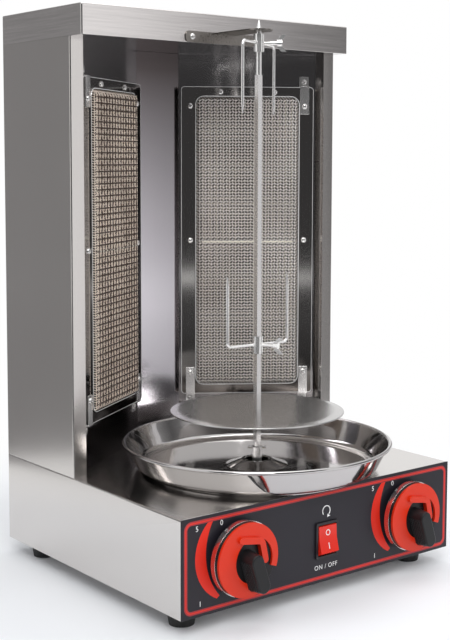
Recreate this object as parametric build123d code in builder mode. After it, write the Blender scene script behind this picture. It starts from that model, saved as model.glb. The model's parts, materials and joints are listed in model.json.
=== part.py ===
"""Counter-top vertical skewer grill: two upright radiant burners, a motor-driven skewer, a drip pan.

Millimetres, +Z up, -Y is the front. The origin is the middle of the footprint, on the table.
"""

from math import atan2, cos, hypot, radians, sin
import os

from build123d import *

os.makedirs("parts", exist_ok=True)

# ---------------------------------------------------------------- driving dimensions
# cabinet
base_width = 350.0
base_depth = 321.0
base_height = 92.5
tower_setback = 184.0  # base front to tower front
tower_height = 439.0
tower_flange = 15.3
tower_return = 14.0
cap_height = 30.5
cap_overhang = 22.0
sheet = 1.0
fold_radius = 1.6
panel_thickness = 1.2
bottom_flange = 14.0
seat_gap = 0.1  # between loose-fitting pressed parts
burner_clearance = 0.6  # round the plenum and the mixer tube

# feet
foot_height = 17.0
foot_top_radius = 15.0
foot_bottom_radius = 12.0
foot_inset_x = 25.0
foot_inset_y = 34.0
foot_screw_radius = 2.0
foot_screw_head_radius = 4.5
foot_screw_head = 3.0
foot_screw_recess = 6.0
foot_screw_end = 4.0  # above the bottom plate
screw_head_gap = 0.5

# inner walls of the cooking space
inner_sheet = 0.8
centre_panel_width = 57.6
centre_panel_setback = 286.1  # base front to the centre panel

# radiant burners, measured on their wall
burner_foot = 48.0  # above the base top
burner_head_gap = 37.0  # below the ceiling
burner_side_gap = 2.9  # from the wall's ends
burner_stand = 6.2  # how proud of the wall the frame plate is
plate_sheet = 1.0
plate_corner = 4.0
mesh_inset_side = 17.5  # from the frame plate's edges
mesh_inset_end = 12.0
mesh_rise = 6.2  # how proud of the frame plate the cage is
mesh_sheet = 0.8
mesh_corner = 9.0
mesh_flange = 4.0
mesh_columns = 8
mesh_rows = 18
mesh_bar = 1.4
window_bead = 1.8  # raised edge round the mesh
window_bead_height = 1.6
window_bead_edge = 0.7
tile_thickness = 12.0
tile_gap = 0.6
plenum_depth = 32.0  # behind the wall
plenum_sheet = 0.8
plenum_corner = 6.0
burner_screw_inset = 10.4
burner_screw_low = 25.0  # above the frame plate's foot
burner_screw_high = 22.0  # below its head
burner_top_screw_span = 62.0
burner_top_screw_drop = 6.0
small_head_radius = 3.2
small_head = 2.0
clip_width = 10.4
clip_sheet = 1.0
clip_reach = 12.0  # below the frame plate
clip_cover = 31.0  # over the frame plate

# gas side, inside the cabinet
mixer_radius = 11.0
mixer_wall = 1.0
mixer_drop = 16.0  # below the base top
bell_radius = 16.0
bell_length = 8.0
injector_radius = 6.0
injector_length = 14.0
nozzle_length = 4.7
nozzle_radius = 4.2
nozzle_taper = 15.0
injector_gap = 3.0  # air gap under the bell
feed_radius = 4.0
feed_wall = 0.8
feed_bend = 12.0
manifold_radius = 7.0
manifold_wall = 1.0
manifold_drop = 31.0  # below the valve axis
manifold_bend = 22.0
valve_radius = 11.0
valve_length = 34.0
valve_boss_radius = 8.0
outlet_radius = 6.0
outlet_length = 10.0
inlet_inset = 30.0  # from the right side
inlet_reach = 22.0  # behind the cabinet
inlet_radius = 6.5
spigot_radius = 4.5
spigot_wall = 1.5
inlet_nut_radius = 10.0
inlet_nut = 6.0
inlet_collar = 10.0

# controls
knob_inset = 64.5  # from the cabinet's sides
knob_height = 47.5  # above the base's bottom edge
knob_radius = 34.0
knob_stand_off = 5.0  # knob back to panel
knob_body_height = 9.0
knob_edge = 0.8
skirt_height = 6.0
skirt_wall = 1.5
ring_height = 2.4
ring_hole_radius = 21.5
ring_hole_shift_x = 6.5
ring_hole_shift_y = 1.5
ring_gap_start = -66.0
ring_gap_end = -20.0
pointer_width = 6.4
pointer_height = 5.0
pointer_bend = 6.0
pointer_root = (-9.5, 20.5)  # from the knob's centre
pointer_knee = (14.0, 16.5)
pointer_tip = (18.0, -2.0)
grip_width = 17.0
grip_height = 17.0
grip_draft = 6.0
grip_angle = -72.0
grip_tail = 10.0
grip_nose = 32.0
grip_edge = 1.5
stem_radius = 4.0
stem_running_gap = 0.05
stem_engagement = 12.0  # stem inside the knob
stem_depth = 22.0  # stem inside the valve
stem_end_gap = 1.0
knob_push = 3.5
panel_hole_gap = 1.5
rocker_height = 30.0
rocker_width = 23.0
rocker_centre_height = 42.0
bezel_height = 36.0
bezel_width = 29.0
bezel_thickness = 2.0
bezel_corner = 1.5
switch_body_depth = 22.0
switch_wall = 1.6
rocker_gap = 0.4
rocker_crown = 7.5  # front of the rocker above its pivot
rocker_valley = 1.4
rocker_back = 4.0
rocker_pivot_depth = 3.0
rocker_tilt = 9.0
rocker_pin_radius = 1.5
rocker_pin_reach = 0.6  # into the housing's wall

# drive
skewer_setback = 107.2  # base front to the skewer's axis
motor_radius = 30.0
motor_length = 38.0
motor_gap = 16.0  # motor face below the base top
motor_ear_span = 70.0
motor_ear_width = 12.8
motor_screw_end = 2.0  # below the ears
motor_boss_radius = 9.0
motor_boss = 6.0
motor_plate_width = 86.0
motor_plate_depth = 64.0
motor_plate_sheet = 2.0
shaft_radius = 4.0
shaft_running_gap = 0.05
bush_radius = 8.0
bush_flange_radius = 12.0
bush_flange = 1.8
bush_depth = 3.0  # below the base top
socket_radius = 5.2
socket_foot = 6.0  # above the base top
socket_top = 22.5
socket_bore_radius = 3.2
socket_bore_depth = 11.0
socket_hub_depth = 5.2
socket_edge = 0.8
drive_pin_radius = 1.4
drive_pin_span = 19.0
drive_pin_angle = -39.0
drive_pin_sink = 2.6
shaft_depth = 16.0  # inside the motor

# skewer
skewer_side = 5.5
skewer_running_gap = 0.1
skewer_neck_drop = 34.0  # from the ceiling down to the top of the square length
skewer_neck_radius = 3.05
skewer_over_ceiling = 21.0  # tip above the ceiling
skewer_cone = 9.0
skewer_tip_radius = 0.4
skewer_foot_top = 27.0
disc_radius = 90.0
disc_sheet = 1.5
disc_top = 62.0
disc_rim_width = 10.0
disc_rim_drop = 1.4
disc_hub_radius = 7.0
disc_hub = 6.0
fork_collar_radius = 5.6
fork_collar_height = 18.0
fork_radius = 38.0
prong_radius = 1.6
prong_length = 72.0
prong_point = 9.0
prong_bend = 5.0
upper_fork_drop = 2.0  # from the ceiling down to the collar's middle
upper_fork_angle = 26.0
lower_fork_height = 129.0  # collar middle above the base top
lower_fork_angle = -3.2
wing_screw_angle = -60.0  # from the fork's arm
wing_screw_radius = 2.0
wing_screw_length = 18.0
wing_hub_radius = 3.4
wing_hub = 5.0
wing_span = 17.0
wing_thickness = 1.6
wing_root = 4.9  # above the hub's foot, at the wing's outer edge
wing_tip = 9.8

# top bracket
bracket_sheet = 1.5
bracket_flange_height = 11.5
bracket_flange_width = 104.0
bracket_arm_width = 28.0
bracket_hole_gap = 0.35
bracket_corner = 4.0
bracket_screw_span = 88.0

# drip pan
pan_radius = 140.0
pan_rim_height = 30.4  # above the base top
pan_bottom_radius = 124.0
pan_sheet = 1.0
pan_roll_radius = 1.8
pan_stand = 2.5  # bead under the pan
pan_bottom_corner = 10.0
pan_dome_radius = 32.0
pan_dome_top_radius = 16.0
pan_dome_height = 6.0
pan_dome_edge = 1.5
pan_dome_foot = 4.0
pan_hole_radius = 12.5

# electrics at the back
gland_radius = 7.0
gland_reach = 14.0
gland_nut_radius = 9.0
gland_nut = 4.0
gland_bore_radius = 3.2
gland_edge = 2.0
gland_inset = 55.0  # from the left side
gland_height = 30.0  # above the base's bottom edge
terminal_size = 40.0
terminal_width = 18.0
terminal_height = 16.0
terminal_poles = 3
vent_slot_width = 60.0
vent_slot_height = 4.0
vent_pitch = 16.0
vent_count = 5
vent_column_pitch = 96.0
vent_low = 53.0  # row middles above the base top
vent_high = 360.0
bottom_slot_width = 120.0
bottom_slot_height = 6.0

# ---------------------------------------------------------------- derived places
knob_reach = knob_stand_off + knob_body_height + grip_height
front_reach = max(pan_radius - skewer_setback, knob_reach)
total_depth = base_depth + front_reach + inlet_reach
front_y = front_reach - total_depth / 2
rear_y = front_y + base_depth
tower_front_y = front_y + tower_setback
cap_front_y = tower_front_y - cap_overhang
skewer_y = front_y + skewer_setback
base_bottom_z = foot_height
base_top_z = base_bottom_z + base_height
ceiling_z = base_top_z + tower_height
skewer_square_top = tower_height - skewer_neck_drop  # these three above the base top
skewer_tip = tower_height + skewer_over_ceiling
upper_fork_height = tower_height - upper_fork_drop
knob_z = base_bottom_z + knob_height
knob_x = base_width / 2 - knob_inset
inlet_x = base_width / 2 - inlet_inset
gland_x = gland_inset - base_width / 2
shell_front_y = front_y + panel_thickness
shell_inner_y = shell_front_y + sheet

# the left wall runs from the front return to the centre panel
wall_start = (-(base_width / 2 - tower_flange), tower_front_y + tower_return)
wall_end = (-centre_panel_width / 2, front_y + centre_panel_setback)
wall_run = (wall_end[0] - wall_start[0], wall_end[1] - wall_start[1])
wall_length = hypot(*wall_run)
wall_angle = atan2(wall_run[1], wall_run[0])
wall_normal = (sin(wall_angle), -cos(wall_angle))
wall_plane = Plane(
    origin=(wall_start[0], wall_start[1], base_top_z),
    x_dir=(cos(wall_angle), sin(wall_angle), 0),
    z_dir=(wall_normal[0], wall_normal[1], 0),
)
burner_width = wall_length - 2 * burner_side_gap
burner_height = tower_height - burner_foot - burner_head_gap
mesh_width = burner_width - 2 * mesh_inset_side
mesh_height = burner_height - 2 * mesh_inset_end
burner_s = wall_length / 2
burner_z = burner_foot + burner_height / 2


wall_axis = Axis((wall_start[0], wall_start[1], base_top_z), (*wall_normal, 0))


def wall_level(height):
    """The left wall's plane, moved out from the wall by a height."""
    return wall_plane.offset(height)


def on_wall(along, up, out):
    """A point in the left wall's frame: along the wall, above the base top, out from the wall."""
    return wall_plane.from_local_coords(Vector(along, up, out))


def save(part, name):
    part.label = name
    export_step(part, f"parts/{name}.step")


def save_pair(part, name):
    """Write a left piece and its mirror image on the right."""
    save(part, f"{name}_left")
    with BuildPart() as other_side:
        mirror(part, about=Plane.YZ)
    save(other_side.part, f"{name}_right")


# ---------------------------------------------------------------- cabinet
shell_depth = base_depth - panel_thickness
shell_middle_y = shell_front_y + shell_depth / 2
mixer_point = on_wall(burner_s, 0, -plenum_depth / 2)
mixer_hole_radius = mixer_radius + burner_clearance
stem_hole_radius = stem_radius + panel_hole_gap
inlet_z = knob_z - manifold_drop
gland_z = base_bottom_z + gland_height
switch_z = base_bottom_z + rocker_centre_height
switch_hole_width = rocker_width + 2 * (rocker_gap + switch_wall)
switch_hole_height = rocker_height + 2 * (rocker_gap + switch_wall)
front_plane = Plane(origin=(0, shell_front_y, 0), x_dir=(1, 0, 0), z_dir=(0, -1, 0))
rear_plane = Plane(origin=(0, rear_y, 0), x_dir=(1, 0, 0), z_dir=(0, -1, 0))
panel_plane = Plane(origin=(0, front_y, 0), x_dir=(1, 0, 0), z_dir=(0, -1, 0))
knob_places = [(-knob_x, knob_z), (knob_x, knob_z)]
foot_x = base_width / 2 - foot_inset_x
foot_spots = [
    (side * foot_x, spot_y)
    for side in (-1, 1)
    for spot_y in (front_y + foot_inset_y, rear_y - foot_inset_y)
]

with BuildPart() as base_shell:
    with BuildSketch(Plane((0, shell_middle_y, base_bottom_z))):
        Rectangle(base_width, shell_depth)
    extrude(amount=base_height)
    upright = base_shell.edges().filter_by(Axis.Z).group_by(Axis.Y)[-1]
    top_sides = base_shell.edges().filter_by(Axis.Y).group_by(Axis.Z)[-1]
    fillet(upright + top_sides, fold_radius)
    offset(amount=-sheet, openings=base_shell.faces().sort_by(Axis.Z)[0])
    with BuildSketch(Plane((0, shell_middle_y, base_bottom_z + sheet))):
        Rectangle(base_width - 2 * sheet, shell_depth - 2 * sheet)
        Rectangle(
            base_width - 2 * sheet - 2 * bottom_flange,
            shell_depth - 2 * sheet - 2 * bottom_flange,
            mode=Mode.SUBTRACT,
        )
    extrude(amount=sheet)
    with BuildSketch(Plane((0, 0, base_top_z))):
        with Locations((0, skewer_y)):
            Circle(bush_radius)
        with Locations((mixer_point.X, mixer_point.Y), (-mixer_point.X, mixer_point.Y)):
            Circle(mixer_hole_radius)
    extrude(amount=-sheet, mode=Mode.SUBTRACT)
    with BuildSketch(front_plane):
        with Locations(*knob_places):
            Circle(stem_hole_radius)
        with Locations((0, switch_z)):
            Rectangle(switch_hole_width, switch_hole_height)
    extrude(amount=-sheet, mode=Mode.SUBTRACT)
    with BuildSketch(rear_plane):
        with Locations((inlet_x, inlet_z)):
            Circle(inlet_radius)
        with Locations((gland_x, gland_z)):
            Circle(gland_radius)
    extrude(amount=sheet, mode=Mode.SUBTRACT)
save(base_shell.part, "base_shell")

with BuildPart() as base_bottom:
    with BuildSketch(Plane((0, shell_middle_y, base_bottom_z))):
        RectangleRounded(
            base_width - 2 * (sheet + seat_gap),
            shell_depth - 2 * (sheet + seat_gap),
            fold_radius,
        )
        with Locations(*[(x, y - shell_middle_y) for x, y in foot_spots]):
            Circle(foot_screw_radius + seat_gap, mode=Mode.SUBTRACT)
        with GridLocations(0, vent_pitch, 1, vent_count):
            SlotOverall(bottom_slot_width, bottom_slot_height, mode=Mode.SUBTRACT)
    extrude(amount=sheet)
save(base_bottom.part, "base_bottom")

with BuildPart() as control_panel:
    with BuildSketch(panel_plane):
        with Locations((0, base_bottom_z + base_height / 2)):
            Rectangle(base_width, base_height)
        with Locations(*knob_places):
            Circle(stem_hole_radius, mode=Mode.SUBTRACT)
        with Locations((0, switch_z)):
            Rectangle(switch_hole_width, switch_hole_height, mode=Mode.SUBTRACT)
    extrude(amount=-panel_thickness)
save(control_panel.part, "control_panel")

tower_depth = base_depth - tower_setback
tower_middle_y = tower_front_y + tower_depth / 2
return_x = base_width / 2 - tower_flange + sheet / 2
with BuildPart() as tower_shell:
    with BuildSketch(Plane((0, tower_middle_y, base_top_z))):
        Rectangle(base_width, tower_depth)
        fillet(vertices(), fold_radius)
        offset(amount=-sheet, mode=Mode.SUBTRACT)
        with Locations((0, -tower_depth / 2)):
            Rectangle(
                base_width - 2 * tower_flange,
                3 * sheet,
                mode=Mode.SUBTRACT,
            )
        with Locations(
            (-return_x, -tower_depth / 2 + tower_return / 2),
            (return_x, -tower_depth / 2 + tower_return / 2),
        ):
            Rectangle(sheet, tower_return)
    extrude(amount=tower_height)
    with BuildSketch(rear_plane):
        for row_height in (vent_low, vent_high):
            with Locations((0, base_top_z + row_height)):
                with GridLocations(vent_column_pitch, vent_pitch, 2, vent_count):
                    SlotOverall(vent_slot_width, vent_slot_height)
    extrude(amount=sheet, mode=Mode.SUBTRACT)
save(tower_shell.part, "tower_shell")

plenum_width = mesh_width + 2 * mesh_flange
plenum_height = mesh_height + 2 * mesh_flange
with BuildPart() as inner_wall:
    with BuildSketch(wall_level(-inner_sheet)):
        with Locations((wall_length / 2, tower_height / 2)):
            Rectangle(wall_length, tower_height)
        with Locations((burner_s, burner_z)):
            RectangleRounded(
                plenum_width + 2 * burner_clearance,
                plenum_height + 2 * burner_clearance,
                plenum_corner + burner_clearance,
                mode=Mode.SUBTRACT,
            )
    extrude(amount=inner_sheet)
save_pair(inner_wall.part, "inner_wall")

with BuildPart() as centre_panel:
    with BuildSketch(Plane((0, wall_end[1] + inner_sheet / 2, base_top_z))):
        Rectangle(centre_panel_width, inner_sheet)
    extrude(amount=tower_height)
save(centre_panel.part, "centre_panel")

cap_depth = rear_y - cap_front_y
cap_middle_y = cap_front_y + cap_depth / 2
with BuildPart() as cap:
    with BuildSketch(Plane((0, cap_middle_y, ceiling_z))):
        Rectangle(base_width, cap_depth)
    extrude(amount=cap_height)
    upper_edges = cap.edges().group_by(Axis.Z)[-1]
    fillet(cap.edges().filter_by(Axis.Z) + upper_edges, fold_radius)
    offset(amount=-sheet, openings=cap.faces().sort_by(Axis.Z)[0])
save(cap.part, "cap")

with BuildPart() as ceiling_plate:
    with BuildSketch(Plane((0, cap_middle_y, ceiling_z))):
        RectangleRounded(
            base_width - 2 * (sheet + seat_gap),
            cap_depth - 2 * (sheet + seat_gap),
            fold_radius,
        )
    extrude(amount=sheet)
save(ceiling_plate.part, "ceiling_plate")

# ---------------------------------------------------------------- feet
with BuildPart() as feet:
    with Locations(*foot_spots):
        Cone(
            foot_bottom_radius,
            foot_top_radius,
            foot_height,
            align=(Align.CENTER, Align.CENTER, Align.MIN),
        )
        Cylinder(
            foot_screw_head_radius + screw_head_gap,
            foot_screw_recess,
            align=(Align.CENTER, Align.CENTER, Align.MIN),
            mode=Mode.SUBTRACT,
        )
        Cylinder(
            foot_screw_radius + seat_gap,
            foot_height,
            align=(Align.CENTER, Align.CENTER, Align.MIN),
            mode=Mode.SUBTRACT,
        )
save(feet.part, "feet")

with BuildPart() as foot_screws:
    with BuildSketch(Plane.XY.offset(foot_screw_recess - foot_screw_head)):
        with Locations(*foot_spots):
            Circle(foot_screw_head_radius)
    extrude(amount=foot_screw_head)
    with BuildSketch(Plane.XY.offset(foot_screw_recess)):
        with Locations(*foot_spots):
            Circle(foot_screw_radius)
    extrude(amount=foot_height - foot_screw_recess + sheet + foot_screw_end)
save(foot_screws.part, "foot_screws")

# ---------------------------------------------------------------- radiant burners
with BuildPart() as burner_frame:
    with BuildSketch(wall_plane):
        with Locations((burner_s, burner_z)):
            RectangleRounded(burner_width, burner_height, plate_corner)
    extrude(amount=burner_stand)
    with BuildSketch(wall_plane):
        with Locations((burner_s, burner_z)):
            RectangleRounded(
                burner_width - 2 * plate_sheet,
                burner_height - 2 * plate_sheet,
                plate_corner - plate_sheet,
            )
    extrude(amount=burner_stand - plate_sheet, mode=Mode.SUBTRACT)
    with BuildSketch(wall_level(burner_stand)):
        with Locations((burner_s, burner_z)):
            RectangleRounded(
                mesh_width + 2 * window_bead,
                mesh_height + 2 * window_bead,
                mesh_corner + window_bead,
            )
    extrude(amount=window_bead_height)
    bead_faces = burner_frame.faces().filter_by(wall_plane).sort_by(wall_axis)
    fillet(bead_faces[-1].edges(), window_bead_edge)
    with BuildSketch(wall_plane):
        with Locations((burner_s, burner_z)):
            RectangleRounded(
                mesh_width + 2 * seat_gap,
                mesh_height + 2 * seat_gap,
                mesh_corner + seat_gap,
            )
    extrude(amount=burner_stand + window_bead_height, mode=Mode.SUBTRACT)
save_pair(burner_frame.part, "burner_frame")

cage_back = burner_stand - plate_sheet - mesh_sheet
with BuildPart() as burner_mesh:
    with BuildSketch(wall_level(cage_back)):
        with Locations((burner_s, burner_z)):
            RectangleRounded(mesh_width, mesh_height, mesh_corner)
    extrude(amount=mesh_rise + plate_sheet + mesh_sheet)
    with BuildSketch(wall_level(cage_back)):
        with Locations((burner_s, burner_z)):
            RectangleRounded(
                mesh_width - 2 * mesh_sheet,
                mesh_height - 2 * mesh_sheet,
                mesh_corner - mesh_sheet,
            )
    extrude(amount=mesh_rise + plate_sheet, mode=Mode.SUBTRACT)
    with BuildSketch(wall_level(cage_back)):
        with Locations((burner_s, burner_z)):
            RectangleRounded(
                mesh_width + 2 * mesh_flange,
                mesh_height + 2 * mesh_flange,
                mesh_corner + mesh_flange,
            )
            RectangleRounded(
                mesh_width - 2 * mesh_sheet,
                mesh_height - 2 * mesh_sheet,
                mesh_corner - mesh_sheet,
                mode=Mode.SUBTRACT,
            )
    extrude(amount=mesh_sheet)
    net_width = mesh_width - 2 * mesh_corner
    net_height = mesh_height - 2 * mesh_corner
    column_pitch = net_width / mesh_columns
    row_pitch = net_height / mesh_rows
    with BuildSketch(wall_level(burner_stand + mesh_rise)):
        with Locations((burner_s, burner_z)):
            with GridLocations(column_pitch, row_pitch, mesh_columns, mesh_rows):
                Rectangle(column_pitch - mesh_bar, row_pitch - mesh_bar)
    extrude(amount=-mesh_sheet, mode=Mode.SUBTRACT)
save_pair(burner_mesh.part, "burner_mesh")

tile_height = (plenum_height - 2 * plenum_sheet - 2 * seat_gap - tile_gap) / 2
tile_width = plenum_width - 2 * plenum_sheet - 2 * seat_gap
with BuildPart() as ceramic_tiles:
    with BuildSketch(wall_level(cage_back - tile_thickness)):
        with Locations((burner_s, burner_z)):
            with GridLocations(0, tile_height + tile_gap, 1, 2):
                RectangleRounded(tile_width, tile_height, plenum_corner - plenum_sheet)
    extrude(amount=tile_thickness)
save_pair(ceramic_tiles.part, "ceramic_tiles")

with BuildPart() as plenum:
    with BuildSketch(wall_level(-plenum_depth)):
        with Locations((burner_s, burner_z)):
            RectangleRounded(plenum_width, plenum_height, plenum_corner)
    extrude(amount=plenum_depth + cage_back)
    with BuildSketch(wall_level(plenum_sheet - plenum_depth)):
        with Locations((burner_s, burner_z)):
            RectangleRounded(
                plenum_width - 2 * plenum_sheet,
                plenum_height - 2 * plenum_sheet,
                plenum_corner - plenum_sheet,
            )
    extrude(amount=plenum_depth + cage_back, mode=Mode.SUBTRACT)
    with BuildSketch(Plane((mixer_point.X, mixer_point.Y, base_top_z))):
        Circle(mixer_radius - mixer_wall)
    extrude(amount=burner_z, mode=Mode.SUBTRACT)
save_pair(plenum.part, "plenum")

plate_left_s = burner_s - burner_width / 2 + burner_screw_inset
plate_right_s = burner_s + burner_width / 2 - burner_screw_inset
burner_head = burner_foot + burner_height
low_row = burner_foot + burner_screw_low
high_row = burner_head - burner_screw_high
screw_rows = [low_row, (low_row + high_row) / 2, high_row]
side_screws = [(s, z) for s in (plate_left_s, plate_right_s) for z in screw_rows]
top_screw_z = burner_head - burner_top_screw_drop
top_screws = [
    (burner_s + side * burner_top_screw_span / 2, top_screw_z) for side in (-1, 1)
]
# clips: along the wall, the plate's edge that they hook over, and the side of it they go to
clips = [(plate_left_s, burner_foot, -1), (plate_right_s, burner_foot, -1), (plate_left_s, burner_head, 1)]
clip_screws = [(s, edge + sense * clip_reach / 2) for s, edge, sense in clips]
clip_upper = [(plate_left_s, low_row), (plate_right_s, low_row), (plate_left_s, high_row)]
plain_screws = [place for place in side_screws if place not in clip_upper] + top_screws
with BuildPart() as burner_screws:
    with BuildSketch(wall_level(burner_stand)):
        with Locations(*plain_screws):
            Circle(small_head_radius)
    extrude(amount=small_head)
    with BuildSketch(wall_level(burner_stand + clip_sheet)):
        with Locations(*clip_upper):
            Circle(small_head_radius)
    extrude(amount=small_head)
    with BuildSketch(wall_level(clip_sheet)):
        with Locations(*clip_screws):
            Circle(small_head_radius)
    extrude(amount=small_head)
    mirror(about=Plane.YZ)
save(burner_screws.part, "burner_screws")

with BuildPart() as burner_clips:
    for s, edge, sense in clips:
        with BuildSketch(wall_plane):
            with Locations((s, edge + sense * (clip_reach + seat_gap) / 2)):
                Rectangle(clip_width, clip_reach - seat_gap)
        extrude(amount=clip_sheet)
        with BuildSketch(wall_plane):
            with Locations((s, edge + sense * (clip_sheet / 2 + seat_gap))):
                Rectangle(clip_width, clip_sheet)
        extrude(amount=burner_stand + clip_sheet)
        with BuildSketch(wall_level(burner_stand)):
            with Locations((s, edge - sense * ((clip_cover - clip_sheet) / 2 - seat_gap))):
                Rectangle(clip_width, clip_cover + clip_sheet)
        extrude(amount=clip_sheet)
    mirror(about=Plane.YZ)
save(burner_clips.part, "burner_clips")

# ---------------------------------------------------------------- gas side
mixer_axis = Vector(mixer_point.X, mixer_point.Y, 0)
mixer_top_z = base_top_z + burner_z - plenum_height / 2
mixer_bottom_z = base_top_z - mixer_drop
with BuildPart() as mixer_tube:
    with BuildSketch(Plane(mixer_axis, x_dir=(1, 0, 0), z_dir=(0, -1, 0))):
        with BuildLine():
            outer_low = (bell_radius, mixer_bottom_z)
            outer_mid = (mixer_radius, mixer_bottom_z + bell_length)
            outer_top = (mixer_radius, mixer_top_z)
            inner_top = (mixer_radius - mixer_wall, mixer_top_z)
            inner_mid = (mixer_radius - mixer_wall, mixer_bottom_z + bell_length)
            inner_low = (bell_radius - mixer_wall, mixer_bottom_z)
            Polyline(outer_low, outer_mid, outer_top, inner_top, inner_mid, inner_low, close=True)
        make_face()
    revolve(axis=Axis(mixer_axis, (0, 0, 1)))
save_pair(mixer_tube.part, "mixer_tube")

injector_top_z = mixer_bottom_z - injector_gap
injector_bottom_z = injector_top_z - injector_length
with BuildPart() as injector:
    with BuildSketch(Plane((mixer_axis.X, mixer_axis.Y, injector_bottom_z))):
        RegularPolygon(injector_radius, 6)
    extrude(amount=injector_length - nozzle_length)
    with BuildSketch(Plane((mixer_axis.X, mixer_axis.Y, injector_top_z - nozzle_length))):
        Circle(nozzle_radius)
    extrude(amount=nozzle_length, taper=nozzle_taper)
    with BuildSketch(Plane((mixer_axis.X, mixer_axis.Y, injector_bottom_z))):
        Circle(feed_radius + seat_gap / 2)
    extrude(amount=nozzle_length, mode=Mode.SUBTRACT)
save_pair(injector.part, "injector")

valve_x = -knob_x
valve_front = Plane(origin=(valve_x, shell_inner_y, knob_z), x_dir=(1, 0, 0), z_dir=(0, 1, 0))
valve_middle_y = shell_inner_y + valve_length / 2
valve_rear_y = shell_inner_y + valve_length
manifold_z = knob_z - manifold_drop
with BuildPart() as valve_body:
    with BuildSketch(valve_front):
        Circle(valve_radius)
    extrude(amount=valve_length)
    with BuildSketch(valve_front.offset(valve_length)):
        Circle(outlet_radius)
    extrude(amount=outlet_length)
    with BuildSketch(Plane((valve_x, valve_middle_y, manifold_z))):
        Circle(valve_boss_radius)
    extrude(amount=manifold_drop)
    with BuildSketch(Plane(origin=(valve_x, valve_middle_y, manifold_z), z_dir=(1, 0, 0))):
        Circle(manifold_radius)
    extrude(amount=2 * valve_boss_radius, both=True, mode=Mode.SUBTRACT)
    with BuildSketch(valve_front):
        Circle(stem_radius + stem_running_gap)
    extrude(amount=stem_depth + knob_push + stem_end_gap, mode=Mode.SUBTRACT)
save_pair(valve_body.part, "valve_body")

feed_start = (valve_x, valve_rear_y + outlet_length + 2 * seat_gap, knob_z)
feed_corner = (mixer_axis.X, mixer_axis.Y, knob_z)
feed_end = (mixer_axis.X, mixer_axis.Y, injector_bottom_z + nozzle_length)
with BuildPart() as feed_tube:
    with BuildLine() as feed_route:
        FilletPolyline(feed_start, feed_corner, feed_end, radius=feed_bend)
    with BuildSketch(Plane(origin=feed_start, z_dir=feed_route.line % 0)):
        Circle(feed_radius)
        Circle(feed_radius - feed_wall, mode=Mode.SUBTRACT)
    sweep()
save_pair(feed_tube.part, "feed_tube")

manifold_start = (valve_x - 2 * valve_boss_radius, valve_middle_y, manifold_z)
manifold_corner = (inlet_x, valve_middle_y, manifold_z)
manifold_end = (inlet_x, rear_y - sheet - inlet_collar, manifold_z)
with BuildPart() as gas_manifold:
    with BuildLine():
        FilletPolyline(manifold_start, manifold_corner, manifold_end, radius=manifold_bend)
    with BuildSketch(Plane(origin=manifold_start, z_dir=(1, 0, 0))):
        Circle(manifold_radius)
        Circle(manifold_radius - manifold_wall, mode=Mode.SUBTRACT)
    sweep()
    with BuildSketch(Plane(origin=manifold_start, z_dir=(1, 0, 0))):
        Circle(manifold_radius)
    extrude(amount=-2 * manifold_wall)
save(gas_manifold.part, "gas_manifold")

inlet_plane = Plane(origin=(inlet_x, rear_y, inlet_z), x_dir=(1, 0, 0), z_dir=(0, 1, 0))
with BuildPart() as gas_inlet:
    with BuildSketch(inlet_plane.offset(-sheet - inlet_collar)):
        Circle(inlet_radius - seat_gap / 2)
    extrude(amount=sheet + inlet_collar)
    with BuildSketch(inlet_plane.offset(-sheet)):
        Circle(inlet_nut_radius)
    extrude(amount=-inlet_nut / 2)
    with BuildSketch(inlet_plane):
        RegularPolygon(inlet_nut_radius, 6)
    extrude(amount=inlet_nut)
    with BuildSketch(inlet_plane.offset(inlet_nut)):
        Circle(spigot_radius)
    extrude(amount=inlet_reach - inlet_nut)
    with BuildSketch(inlet_plane.offset(-sheet - inlet_collar)):
        Circle(spigot_radius - spigot_wall)
    extrude(amount=sheet + inlet_collar + inlet_reach, mode=Mode.SUBTRACT)
save(gas_inlet.part, "gas_inlet")

# ---------------------------------------------------------------- controls
stem_front_y = front_y - knob_stand_off - stem_engagement
with BuildPart() as valve_stem:
    with BuildSketch(Plane(origin=(valve_x, stem_front_y, knob_z), z_dir=(0, 1, 0))):
        Circle(stem_radius)
    extrude(amount=shell_inner_y + stem_depth - stem_front_y)
save_pair(valve_stem.part, "valve_stem")


def knob_level(x, height):
    """A plane parallel to the panel at one knob, a height in front of it."""
    return Plane(origin=(x, front_y - height, knob_z), x_dir=(1, 0, 0), z_dir=(0, -1, 0))


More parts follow.
